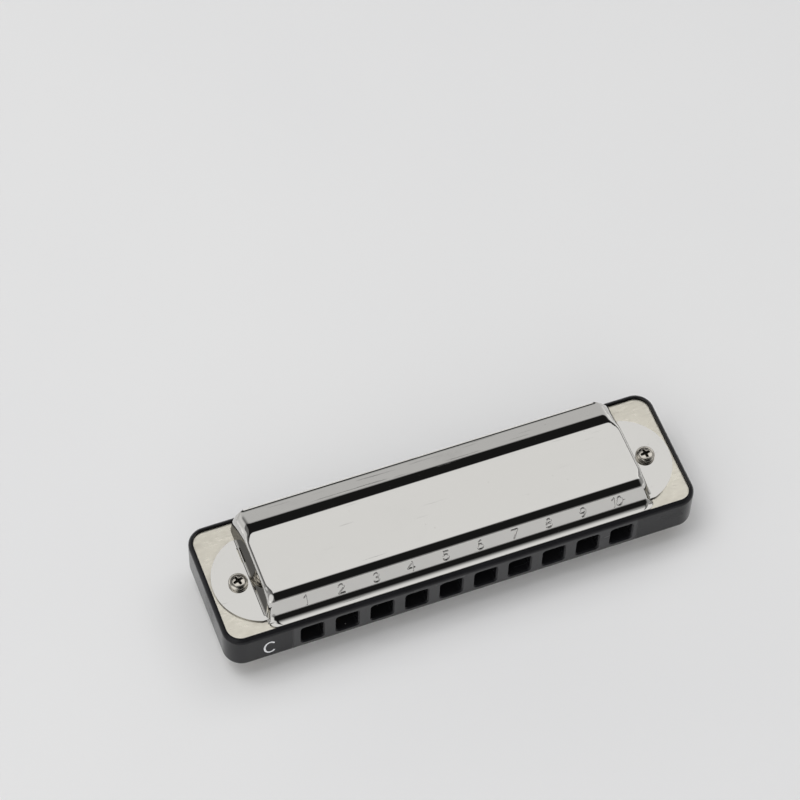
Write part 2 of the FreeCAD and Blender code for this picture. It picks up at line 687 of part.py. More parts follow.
def make_cover_screws(doc):
    """Two pan-head screws that go down through both covers, both plates and the comb."""
    screws = []
    for side, sign in (("left", "-"), ("right", "")):
        x, y = sign + "Sizes.screw_x", "-Sizes.screw_ahead"
        name = side + "_screw"
        head = add_cylinder(doc, name + "_blank", "Sizes.head_wide", "Sizes.head_high",
                            x, y, TAB_FACE)
        doc.recompute()
        dome = doc.addObject("Part::Fillet", name + "_dome")
        dome.Base = head
        crown = number(dome, TAB_FACE + " + Sizes.head_high")
        radius = number(dome, "Sizes.head_round")
        dome.Edges = [(i + 1, radius, radius) for i, edge in enumerate(head.Shape.Edges)
                      if abs(edge.BoundBox.ZMin - crown) < TOLERANCE]
        foot = "(%s - Sizes.nut_high - Sizes.thread_spare)" % LOWER_TAB_FACE
        shank = add_cylinder(doc, name + "_shank", "Sizes.screw_shank",
                             "%s - %s" % (TAB_FACE, foot), x, y, foot)
        blank = add_fuse(doc, name + "_body", [dome, shank])
        cross = add_cross(doc, name + "_cross", "Sizes.cross_long", "Sizes.cross_wide",
                          "Sizes.cross_deep", x, y, "(%s + Sizes.head_high)" % TAB_FACE)
        screws.append(add_cut(doc, name, blank, cross))
    return group(doc, "cover_screws", screws)


def make_cover_nuts(doc):
    """Two hexagon nuts under the tabs of the lower cover."""
    nuts = []
    for side, sign in (("left", "-"), ("right", "")):
        x, y = sign + "Sizes.screw_x", "-Sizes.screw_ahead"
        foot = "%s - Sizes.nut_high" % LOWER_TAB_FACE
        blank = doc.addObject("Part::Prism", side + "_nut_blank")
        blank.Polygon = 6
        blank.setExpression("Circumradius", "Sizes.nut_flats / sqrt(3)")
        blank.setExpression("Height", "Sizes.nut_high")
        blank.setExpression(".Placement.Base.x", x)
        blank.setExpression(".Placement.Base.y", y)
        blank.setExpression(".Placement.Base.z", foot)
        bore = add_cylinder(doc, side + "_nut_bore", "Sizes.screw_shank + 2 * Sizes.thread_play",
                            "Sizes.nut_high", x, y, foot)
        nuts.append(add_cut(doc, side + "_nut", blank, bore))
    return group(doc, "cover_nuts", nuts)


def make_plate_screws(doc, label, lower):
    """Five small screws that hold one reed plate on the comb."""
    screws = []
    step = -1 if lower else 1
    face = "(%s + %d * %s)" % (MID_HEIGHT, step, PLATE_FACE)
    inner = "(%s + %d * (%s - Sizes.pin_long))" % (MID_HEIGHT, step, CORE_FACE)
    head_foot = "%s - Sizes.pin_head_high" % face if lower else face
    head_top = head_foot + " + Sizes.pin_head_high"
    length = "Sizes.pin_long + Sizes.plate_thick"
    for number_in_row, (x, y) in enumerate(pin_places(), start=1):
        name = "%s_%d" % (label, number_in_row)
        head = add_cylinder(doc, name + "_head", "Sizes.pin_head", "Sizes.pin_head_high",
                            x, y, head_foot)
        shank = add_cylinder(doc, name + "_shank", "Sizes.pin_shank", length, x, y,
                             face if lower else inner)
        blank = add_fuse(doc, name + "_body", [head, shank])
        slot_foot = head_foot if lower else head_top + " - Sizes.pin_slot_deep"
        slot_size = ("Sizes.pin_head", "Sizes.pin_slot_wide", "Sizes.pin_slot_deep")
        slot = add_box(doc, name + "_slot", slot_size, x, y, slot_foot)
        screws.append(add_cut(doc, name, blank, slot))
    return group(doc, label, screws)


# ---------------------------------------------------------------- whole instrument

def make_harmonica(doc):
    """Every sub-part, in the order in which the instrument goes together."""
    pieces = [make_comb(doc),
              make_reed_plate(doc, "upper_reed_plate", "blow"),
              make_reed_plate(doc, "lower_reed_plate", "draw")]
    for plate in ("blow", "draw"):
        pieces.append(make_pads(doc, plate + "_reed_pads", plate))
        pieces.append(make_rivets(doc, plate + "_reed_rivets", plate))
        for index in range(NOTE_COUNT):
            pieces.append(make_reed(doc, "%s_reed_%02d" % (plate, index + 1), plate, index))
    pieces.append(make_plate_screws(doc, "upper_plate_screws", lower=False))
    pieces.append(make_plate_screws(doc, "lower_plate_screws", lower=True))
    pieces.append(make_cover(doc, "upper_cover", turned=False))
    pieces.append(make_cover(doc, "lower_cover", turned=True))
    pieces.append(make_cover_screws(doc))
    pieces.append(make_cover_nuts(doc))
    return pieces


def check(doc, pieces):
    """Stop if any feature failed or any sub-part isn't a sound solid."""
    for obj in doc.Objects:
        if "Invalid" in obj.State or "Error" in obj.State:
            raise RuntimeError("%s is in state %s" % (obj.Name, obj.State))
    for piece in pieces:
        shape = piece.Shape
        if shape.isNull() or not shape.isValid() or not shape.Solids:
            raise RuntimeError("%s has no sound shape" % piece.Label)


def main():
    """Build, check and write every sub-part."""
    doc = FreeCAD.newDocument("Harmonica")
    make_sheet(doc)
    pieces = make_harmonica(doc)
    doc.recompute()
    check(doc, pieces)
    os.makedirs("parts", exist_ok=True)
    for piece in pieces:
        box = piece.Shape.optimalBoundingBox()
        print("%-20s %2d solids %8.1f mm3  x %.2f..%.2f y %.2f..%.2f z %.2f..%.2f" % (
            piece.Label, len(piece.Shape.Solids), piece.Shape.Volume,
            box.XMin, box.XMax, box.YMin, box.YMax, box.ZMin, box.ZMax))
        piece.Shape.exportStep("parts/%s.step" % piece.Label)


main()
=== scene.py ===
"""Looks of a ten-hole diatonic harmonica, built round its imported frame.

Lengths are millimetres until a mesh is made, and the row frame is the frame of every piece:
+X runs along the comb from the low notes to the high notes, the mouth side faces -Y, +Z is up.
"""
import logging
import math
from dataclasses import dataclass, field
from enum import Enum
from typing import Sequence

import bpy
import numpy as np
from mathutils import Matrix, Vector


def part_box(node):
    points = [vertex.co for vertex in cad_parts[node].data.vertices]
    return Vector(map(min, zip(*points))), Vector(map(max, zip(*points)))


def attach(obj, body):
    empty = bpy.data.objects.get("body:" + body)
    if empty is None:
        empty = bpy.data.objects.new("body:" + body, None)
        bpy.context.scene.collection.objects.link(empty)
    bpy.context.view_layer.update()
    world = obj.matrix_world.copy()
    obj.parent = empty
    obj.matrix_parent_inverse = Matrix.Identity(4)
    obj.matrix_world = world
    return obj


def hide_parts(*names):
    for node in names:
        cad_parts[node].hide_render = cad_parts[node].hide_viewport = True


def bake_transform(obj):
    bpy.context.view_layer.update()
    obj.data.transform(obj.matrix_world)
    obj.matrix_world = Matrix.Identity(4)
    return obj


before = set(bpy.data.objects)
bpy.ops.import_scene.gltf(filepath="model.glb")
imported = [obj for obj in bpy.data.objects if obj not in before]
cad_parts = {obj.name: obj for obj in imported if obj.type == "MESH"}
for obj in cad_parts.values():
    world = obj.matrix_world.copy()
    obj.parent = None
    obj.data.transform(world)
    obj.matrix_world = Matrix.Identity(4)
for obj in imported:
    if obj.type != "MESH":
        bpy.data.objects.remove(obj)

LOG = logging.getLogger("harmonica")
MM = 0.001
NOTES = 10
PITCH = 7.5
ROW_SHIFT = 0.3
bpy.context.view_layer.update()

Point = tuple[float, float]


class Plate(Enum):
    """The two reed plates: blow notes above the comb, draw notes below it."""

    BLOW = "blow"
    DRAW = "draw"


class Recess(Enum):
    """What is cut into the top of a screw."""

    CROSS = "cross"
    SLOT = "slot"


# ---------------------------------------------------------------- small helpers


def note_x(index: int) -> float:
    """Middle of one note along X.

    Args:
        index: note, counted from 0 at the low end.

    Returns:
        The place in millimetres.
    """
    return ROW_SHIFT + PITCH * (index - (NOTES - 1) / 2)


def node_box(node: str) -> tuple[np.ndarray, np.ndarray]:
    """Lowest and highest corner of a CAD node.

    Args:
        node: name of the node.

    Returns:
        Both corners in millimetres.
    """
    low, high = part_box(node)
    return np.array(low) / MM, np.array(high) / MM


def smoothstep(low: float, high: float, value: np.ndarray) -> np.ndarray:
    """Smooth 0 to 1 ramp.

    Args:
        low: value where the ramp leaves 0.
        high: value where the ramp reaches 1.
        value: where it is read.

    Returns:
        The ramp's height at each value.
    """
    share = np.clip((value - low) / (high - low), 0.0, 1.0)
    return share * share * (3.0 - 2.0 * share)


def make_mesh(name: str, points: np.ndarray, faces: Sequence[Sequence[int]],
              sharp_degrees: float = 40.0) -> bpy.types.Object:
    """A mesh object from points in millimetres.

    Args:
        name: name of the object and of its mesh.
        points: one row of x, y, z for each point.
        faces: corner numbers of each face.
        sharp_degrees: edges that turn by more than this stay sharp.

    Returns:
        The new object, linked to the scene.
    """
    mesh = bpy.data.meshes.new(name)
    mesh.from_pydata((np.asarray(points) * MM).tolist(), [], [list(face) for face in faces])
    mesh.validate()
    piece = bpy.data.objects.new(name, mesh)
    bpy.context.collection.objects.link(piece)
    mesh.shade_smooth()
    mesh.set_sharp_from_angle(angle=math.radians(sharp_degrees))
    return piece


def apply_modifiers(piece: bpy.types.Object) -> None:
    """Bake a piece's modifiers into its mesh.

    Args:
        piece: object whose modifiers are applied and removed.
    """
    depsgraph = bpy.context.evaluated_depsgraph_get()
    baked = bpy.data.meshes.new_from_object(piece.evaluated_get(depsgraph))
    piece.modifiers.clear()
    piece.data = baked


def ring_faces(rings: int, around: int, closed: bool = False) -> list[tuple[int, ...]]:
    """Quads between rings of points that each go once round.

    Args:
        rings: number of rings.
        around: points in each ring.
        closed: also join the last ring to the first one.

    Returns:
        Corner numbers of each quad.
    """
    faces = []
    for ring in range(rings if closed else rings - 1):
        following = (ring + 1) % rings
        for step in range(around):
            turn = (step + 1) % around
            faces.append((ring * around + step, ring * around + turn,
                          following * around + turn, following * around + step))
    return faces


class SheetLine:
    """A line that is drawn the way sheet is bent: straight runs and arcs, end to end."""

    def __init__(self, along: float, height: float) -> None:
        """Start level at a point.

        Args:
            along: first coordinate of the start.
            height: second coordinate of the start.
        """
        self.points: list[Point] = [(along, height)]
        self.angles: list[float] = [0.0]
        self.angle = 0.0

    def run(self, length: float, step: float) -> None:
        """Go straight on.

        Args:
            length: how far.
            step: longest distance between points.
        """
        count = max(1, math.ceil(length / step))
        for _ in range(count):
            along, height = self.points[-1]
            self.points.append((along + length / count * math.cos(self.angle),
                                height + length / count * math.sin(self.angle)))
            self.angles.append(self.angle)

    def bend(self, radius: float, degrees: float, step: float) -> None:
        """Follow an arc.

        Args:
            radius: radius of the arc.
            degrees: turn, upwards if positive.
            step: longest distance between points.
        """
        turn = math.radians(degrees)
        count = max(2, math.ceil(radius * abs(turn) / step))
        chord = 2 * radius * math.sin(abs(turn) / count / 2)
        for _ in range(count):
            self.angle += turn / count / 2
            along, height = self.points[-1]
            self.points.append((along + chord * math.cos(self.angle),
                                height + chord * math.sin(self.angle)))
            self.angle += turn / count / 2
            self.angles.append(self.angle)


# ---------------------------------------------------------------- numbers on the cover

STROKE_STEPS = 14


def stroke_arc(x: float, y: float, wide: float, high: float, start: float,
               end: float) -> list[Point]:
    """Part of an ellipse as a stroke.

    Args:
        x: middle.
        y: middle.
        wide: half width.
        high: half height.
        start: first angle in degrees.
        end: last angle in degrees.

    Returns:
        Points along the stroke.
    """
    angles = np.radians(np.linspace(start, end, STROKE_STEPS))
    return [(x + wide * math.cos(angle), y + high * math.sin(angle)) for angle in angles]


def numeral_strokes(numeral: str) -> list[list[Point]]:
    """Pen strokes of one numeral, one unit high about its middle.

    Args:
        numeral: a digit from 0 to 9.

    Returns:
        The strokes, each a list of points.
    """
    shapes: dict[str, list[list[Point]]] = {
        "0": [stroke_arc(0, 0, 0.29, 0.5, 0, 360)],
        "1": [[(-0.16, 0.3), (0.04, 0.5), (0.04, -0.5)]],
        "2": [stroke_arc(0, 0.22, 0.27, 0.28, 165, -40) + [(-0.28, -0.5), (0.3, -0.5)]],
        "3": [stroke_arc(0, 0.25, 0.24, 0.25, 150, -90),
              stroke_arc(0, -0.25, 0.27, 0.25, 90, -150)],
        "4": [[(0.14, -0.5), (0.14, 0.5), (-0.32, -0.18), (0.34, -0.18)]],
        "5": [[(0.24, 0.5), (-0.2, 0.5), (-0.24, 0.05)]
              + stroke_arc(0, -0.18, 0.28, 0.32, 130, -150)],
        "6": [stroke_arc(0, -0.2, 0.27, 0.3, 0, 360), stroke_arc(0.1, -0.15, 0.37, 0.65, 180, 95)],
        "7": [[(-0.28, 0.5), (0.3, 0.5), (-0.08, -0.5)]],
        "8": [stroke_arc(0, 0.26, 0.22, 0.24, 0, 360), stroke_arc(0, -0.24, 0.27, 0.26, 0, 360)],
        "9": [stroke_arc(0, 0.2, 0.27, 0.3, 0, 360), stroke_arc(-0.1, 0.15, 0.37, 0.65, 0, -85)],
    }
    return shapes[numeral]


def stroke_distance(x: np.ndarray, y: np.ndarray, strokes: Sequence[Sequence[Point]]) -> np.ndarray:
    """Distance from each place to the nearest stroke.

    Args:
        x: places across.
        y: places up.
        strokes: lines of points.

    Returns:
        The distances, in the strokes' own unit.
    """
    nearest = np.full(np.broadcast(x, y).shape, 1e9)
    for stroke in strokes:
        for (ax, ay), (bx, by) in zip(stroke[:-1], stroke[1:]):
            long2 = (bx - ax) ** 2 + (by - ay) ** 2 + 1e-12
            share = np.clip(((x - ax) * (bx - ax) + (y - ay) * (by - ay)) / long2, 0, 1)
            away = np.hypot(x - ax - share * (bx - ax), y - ay - share * (by - ay))
            nearest = np.minimum(nearest, away)
    return nearest


# ---------------------------------------------------------------- shader building


class Nodes:
    """Short way to add and link shader nodes in one tree."""

    def __init__(self, tree: bpy.types.NodeTree) -> None:
        """Work on a node tree.

        Args:
            tree: the tree that nodes are added to.
        """
        self.tree = tree

    def add(self, kind: str, values: dict[str | int, object] | None = None,
            **settings: object) -> bpy.types.Node:
        """Add a node.

        Args:
            kind: the node's type without its ShaderNode prefix.
            values: socket name or number to a value or to an output socket to link.
            settings: properties of the node itself.

        Returns:
            The node.
        """
        node = self.tree.nodes.new("ShaderNode" + kind)
        for key, value in settings.items():
            setattr(node, key, value)
        for key, value in (values or {}).items():
            self.feed(node.inputs[key], value)
        return node

    def feed(self, socket: bpy.types.NodeSocket, value: object) -> None:
        """Link a socket, or set its value.

        Args:
            socket: input socket.
            value: an output socket or a plain value.
        """
        if isinstance(value, bpy.types.NodeSocket):
            self.tree.links.new(value, socket)
        else:
            socket.default_value = value

    def math(self, operation: str, first: object, second: object = 0.0) -> bpy.types.NodeSocket:
        """One arithmetic step.

        Args:
            operation: name of the operation.
            first: left value or socket.
            second: right value or socket.

        Returns:
            The result's socket.
        """
        node = self.add("Math", {0: first, 1: second}, operation=operation)
        return node.outputs[0]

    def ramp(self, value: object, low: float, high: float, to_low: float = 0.0,
             to_high: float = 1.0) -> bpy.types.NodeSocket:
        """Map a value smoothly from one range to another.

        Args:
            value: value or socket to map.
            low: value that gives to_low.
            high: value that gives to_high.
            to_low: result at low.
            to_high: result at high.

        Returns:
            The result's socket.
        """
        node = self.add("MapRange", {"Value": value, "From Min": low, "From Max": high,
                                     "To Min": to_low, "To Max": to_high},
                        interpolation_type="SMOOTHSTEP")
        return node.outputs[0]

    def add_shares(self, value: object,
                   *masks: tuple[object, float]) -> bpy.types.NodeSocket:
        """Add a share of each of several masks to a value.

        Args:
            value: value or socket to start from.
            masks: each mask with the share of it that is added.

        Returns:
            The sum's socket.
        """
        for mask, share in masks:
            value = self.math("ADD", value, self.math("MULTIPLY", mask, share))
        return value

    def product(self, first: object, *others: object) -> bpy.types.NodeSocket:
        """Multiply several values.

        Args:
            first: first value or socket.
            others: the values or sockets that it is multiplied by, one after the other.

        Returns:
            The product's socket.
        """
        for other in others:
            first = self.math("MULTIPLY", first, other)
        return first

    def mix(self, share: object, first: object, second: object) -> bpy.types.NodeSocket:
        """Mix two colours.

        Args:
            share: how much of the second colour.
            first: colour or socket.
            second: colour or socket.

        Returns:
            The mixed colour's socket.
        """
        node = self.add("Mix", {0: share, 6: first, 7: second}, data_type="RGBA")
        return node.outputs[2]


def new_group(name: str, inputs: Sequence[tuple[str, str, float]],
              outputs: Sequence[tuple[str, str]]) -> tuple[bpy.types.NodeTree, Nodes,
                                                           bpy.types.Node, bpy.types.Node]:
    """An empty shader group with named sockets.

    Args:
        name: the group's name.
        inputs: name, socket type and default of each input.
        outputs: name and socket type of each output.

    Returns:
        The group, its node builder, and its input and output nodes.
    """
    tree = bpy.data.node_groups.new(name, "ShaderNodeTree")
    for label, kind, value in inputs:
        socket = tree.interface.new_socket(label, in_out="INPUT", socket_type=kind)
        if kind == "NodeSocketFloat":
            socket.default_value = value
    for label, kind in outputs:
        tree.interface.new_socket(label, in_out="OUTPUT", socket_type=kind)
    entry = tree.nodes.new("NodeGroupInput")
    leave = tree.nodes.new("NodeGroupOutput")
    return tree, Nodes(tree), entry, leave


@dataclass
class Effects:
    """Shader groups that several finishes share, each built once."""

    groups: dict[str, bpy.types.NodeTree] = field(default_factory=dict)

    def build(self) -> None:
        """Build every group."""
        self.groups["scratches"] = self.scratches()
        self.groups["smudges"] = self.smudges()
        self.groups["edge_wear"] = self.edge_wear()
        self.groups["grain"] = self.grain()
        self.groups["dust"] = self.dust()

    def scratches(self) -> bpy.types.NodeTree:
        """Hairline scratches in three directions.

        Returns:
            A group with Density and Scale in, and Mask out.
        """
        tree, nodes, entry, leave = new_group(
            "hairline_scratches",
            [("Scale", "NodeSocketFloat", 1.0), ("Density", "NodeSocketFloat", 0.3)],
            [("Mask", "NodeSocketFloat")])
        place = nodes.add("TexCoord").outputs["Object"]
        threshold = nodes.math("SUBTRACT", 0.78, nodes.math("MULTIPLY",
                                                            entry.outputs["Density"], 0.2))
        total: object = 0.0
        for turn, stretch in ((0.35, 42.0), (1.5, 55.0), (2.4, 34.0)):
            sized = nodes.add("VectorMath", {0: place, "Scale": entry.outputs["Scale"]},
                              operation="SCALE").outputs[0]
            mapped = nodes.add("Mapping", {"Vector": sized, "Rotation": (0.0, 0.0, turn),
                                           "Scale": (60.0, 60.0 * stretch, 260.0)})
            noise = nodes.add("TexNoise", {"Vector": mapped.outputs[0], "Scale": 1.0,
                                           "Detail": 2.0, "Roughness": 0.4})
            over = nodes.math("SUBTRACT", noise.outputs[0], threshold)
            line = nodes.math("MULTIPLY", nodes.math("MAXIMUM", over, 0.0), 14.0)
            total = nodes.math("ADD", total, line)
        nodes.feed(leave.inputs["Mask"], nodes.math("MINIMUM", total, 1.0))
        return tree

    def smudges(self) -> bpy.types.NodeTree:
        """Soft patches, as fingers leave on a polished surface.

        Returns:
            A group with Scale in, and Mask out.
        """
        tree, nodes, entry, leave = new_group(
            "finger_smudges", [("Scale", "NodeSocketFloat", 120.0)],
            [("Mask", "NodeSocketFloat")])
        place = nodes.add("TexCoord").outputs["Object"]
        broad = nodes.add("TexNoise", {"Vector": place, "Scale": entry.outputs["Scale"],
                                       "Detail": 3.0, "Distortion": 0.6})
        fine = nodes.add("TexNoise", {"Vector": place, "Detail": 6.0,
                                      "Scale": nodes.math("MULTIPLY",
                                                          entry.outputs["Scale"], 9.0)})
        patch = nodes.ramp(broad.outputs[0], 0.48, 0.72)
        broken = nodes.math("MULTIPLY", patch, nodes.ramp(fine.outputs[0], 0.3, 0.7, 0.5, 1.0))
        nodes.feed(leave.inputs["Mask"], broken)
        return tree

    def edge_wear(self) -> bpy.types.NodeTree:
        """Edges that hands have rubbed.

        Returns:
            A group with Radius in, and Mask and Normal out.
        """
        tree, nodes, entry, leave = new_group(
            "rubbed_edges", [("Radius", "NodeSocketFloat", 0.0003)],
            [("Mask", "NodeSocketFloat"), ("Normal", "NodeSocketVector")])
        bevel = nodes.add("Bevel", {"Radius": entry.outputs["Radius"]}, samples=6)
        true = nodes.add("NewGeometry").outputs["True Normal"]
        facing = nodes.add("VectorMath", {0: bevel.outputs[0], 1: true},
                           operation="DOT_PRODUCT").outputs["Value"]
        place = nodes.add("TexCoord").outputs["Object"]
        noise = nodes.add("TexNoise", {"Vector": place, "Scale": 900.0, "Detail": 5.0})
        edge = nodes.ramp(facing, 0.995, 0.80)
        marked = nodes.math("MULTIPLY", edge, nodes.ramp(noise.outputs[0], 0.35, 0.65))
        nodes.feed(leave.inputs["Mask"], marked)
        nodes.feed(leave.inputs["Normal"], bevel.outputs[0])
        return tree

    def grain(self) -> bpy.types.NodeTree:
        """Fine lines of rolled or ground metal.

        Returns:
            A group with Along and Across in, and Lines out.
        """
        tree, nodes, entry, leave = new_group(
            "metal_grain", [("Along", "NodeSocketFloat", 60.0),
                            ("Across", "NodeSocketFloat", 4000.0)],
            [("Lines", "NodeSocketFloat")])
        place = nodes.add("TexCoord").outputs["Object"]
        sizes = nodes.add("CombineXYZ", {"X": entry.outputs["Across"],
                                         "Y": entry.outputs["Along"],
                                         "Z": entry.outputs["Across"]})
        mapped = nodes.add("VectorMath", {0: place, 1: sizes.outputs[0]},
                           operation="MULTIPLY")
        noise = nodes.add("TexNoise", {"Vector": mapped.outputs[0], "Scale": 1.0,
                                       "Detail": 4.0, "Roughness": 0.6})
        nodes.feed(leave.inputs["Lines"], noise.outputs[0])
        return tree

    def dust(self) -> bpy.types.NodeTree:
        """Specks of dust on faces that look up.

        Returns:
            A group with Amount in, and Mask out.
        """
        tree, nodes, entry, leave = new_group(
            "dust_specks", [("Amount", "NodeSocketFloat", 0.3)],
            [("Mask", "NodeSocketFloat")])
        place = nodes.add("TexCoord").outputs["Object"]
        cells = nodes.add("TexVoronoi", {"Vector": place, "Scale": 620.0})
        speck = nodes.ramp(cells.outputs["Distance"], 0.11, 0.03)
        chosen = nodes.ramp(cells.outputs["Color"], 0.72, 0.80)
        up = nodes.add("SeparateXYZ", {0: nodes.add("NewGeometry").outputs["Normal"]})
        above = nodes.ramp(up.outputs["Z"], 0.1, 0.9)
        mask = nodes.math("MULTIPLY", nodes.math("MULTIPLY", speck, chosen),
                          nodes.math("MULTIPLY", above, entry.outputs["Amount"]))
        nodes.feed(leave.inputs["Mask"], mask)
        return tree

    def place(self, nodes: Nodes, name: str, **values: object) -> bpy.types.Node:
        """Put a shared group in a material.

        Args:
            nodes: builder of the material's tree.
            name: which group.
            values: input name to value or socket.

        Returns:
            The group's node.
        """
        node = nodes.add("Group")
        node.node_tree = self.groups[name]
        for key, value in values.items():
            nodes.feed(node.inputs[key], value)
        return node


EFFECTS = Effects()

Colour = tuple[float, float, float]


def rgba(colour: Colour, gain: float = 1.0) -> tuple[float, float, float, float]:
    """A colour with full alpha.

    Args:
        colour: red, green and blue.
        gain: factor on all three.

    Returns:
        Four numbers.
    """
    return (colour[0] * gain, colour[1] * gain, colour[2] * gain, 1.0)


def new_material(name: str) -> tuple[bpy.types.Material, Nodes, bpy.types.Node]:
    """A material with a Principled shader and nothing else.

    Args:
        name: the material's name.

    Returns:
        The material, its node builder and its Principled node.
    """
    material = bpy.data.materials.new(name)
    material.use_nodes = True
    return material, Nodes(material.node_tree), material.node_tree.nodes["Principled BSDF"]


RECESS_SHADE = "recess_shade"


@dataclass(frozen=True)
class PolishedMetal:
    """Plated or polished metal with hairlines and finger smudges; if asked, recesses get painted
    shade that darkens with their depth.
    """

    name: str
    tint: Colour
    roughness: float = 0.04
    smudge: float = 0.05
    scratch: float = 0.3
    scratch_scale: float = 1.0
    wavy: float = 0.02
    shaded_recess: bool = False

    def material(self) -> bpy.types.Material:
        """Build the material.

        Returns:
            The material.
        """
        material, nodes, shader = new_material(self.name)
        hair = EFFECTS.place(nodes, "scratches", Scale=self.scratch_scale,
                             Density=self.scratch).outputs["Mask"]
        smear = EFFECTS.place(nodes, "smudges", Scale=90.0).outputs["Mask"]
        dust = EFFECTS.place(nodes, "dust", Amount=0.5).outputs["Mask"]
        toned = nodes.mix(nodes.math("MULTIPLY", smear, 0.10), rgba(self.tint),
                          rgba(self.tint, 0.86))
        dust_and_painted_light = nodes.mix(dust, toned, rgba((0.45, 0.42, 0.38)))
        rough = nodes.add_shares(self.roughness, (smear, self.smudge), (hair, 0.16),
                                 (dust, 0.4))
        if self.shaded_recess:
            # Painted shade: a near-black colour that deepens with the depth of a recess.
            depth = nodes.add("Attribute", attribute_name=RECESS_SHADE).outputs["Fac"]
            recess_shade = nodes.ramp(depth, 0.08, 0.4, 0.0, 0.93)
            dust_and_painted_light = nodes.mix(recess_shade, dust_and_painted_light, rgba((0.022, 0.019, 0.015)))
            rough = nodes.add_shares(rough, (recess_shade, 0.3))
        place = nodes.add("TexCoord").outputs["Object"]
        peel = nodes.add("TexNoise", {"Vector": place, "Scale": 260.0, "Detail": 2.0})
        relief = nodes.math("SUBTRACT", nodes.math("MULTIPLY", peel.outputs[0], self.wavy),
                            nodes.math("MULTIPLY", hair, 0.05))
        bump = nodes.add("Bump", {"Height": relief, "Strength": 0.35, "Distance": 0.0002})
        nodes.feed(shader.inputs["Base Color"], dust_and_painted_light)
        nodes.feed(shader.inputs["Roughness"], rough)
        nodes.feed(shader.inputs["Metallic"], 1.0)
        nodes.feed(shader.inputs["Normal"], bump.outputs[0])
        return material


@dataclass(frozen=True)
class GrainedMetal:
    """Rolled or ground sheet metal with a satin face."""

    name: str
    tint: Colour
    stain: Colour
    roughness: float = 0.35
    along: float = 80.0
    across: float = 3000.0
    relief: float = 0.25

    def material(self) -> bpy.types.Material:
        """Build the material.

        Returns:
            The material.
        """
        material, nodes, shader = new_material(self.name)
        lines = EFFECTS.place(nodes, "grain", Along=self.along,
                              Across=self.across).outputs["Lines"]
        smear = EFFECTS.place(nodes, "smudges", Scale=170.0).outputs["Mask"]
        hair = EFFECTS.place(nodes, "scratches", Scale=0.8, Density=0.5).outputs["Mask"]
        wear = EFFECTS.place(nodes, "edge_wear", Radius=0.00012)
        toned = nodes.mix(nodes.math("MULTIPLY", smear, 0.25), rgba(self.tint),
                          rgba(self.stain))
        lined = nodes.mix(nodes.ramp(lines, 0.35, 0.75, 0.0, 0.14), toned,
                          rgba(self.tint, 0.78))
        bright = nodes.mix(nodes.math("MULTIPLY", wear.outputs["Mask"], 0.5), lined,
                           rgba(self.tint, 1.15))
        rough = nodes.ramp(lines, 0.2, 0.8, self.roughness * 0.85, self.roughness * 1.2)
        rough = nodes.add_shares(rough, (smear, 0.1))
        height = nodes.math("SUBTRACT", nodes.math("MULTIPLY", lines, self.relief),
                            nodes.math("MULTIPLY", hair, 0.4))
        bump = nodes.add("Bump", {"Height": height, "Strength": 0.3, "Distance": 0.00003,
                                  "Normal": wear.outputs["Normal"]})
        nodes.feed(shader.inputs["Base Color"], bright)
        nodes.feed(shader.inputs["Roughness"], rough)
        nodes.feed(shader.inputs["Metallic"], 1.0)
        nodes.feed(shader.inputs["Normal"], bump.outputs[0])
        return material


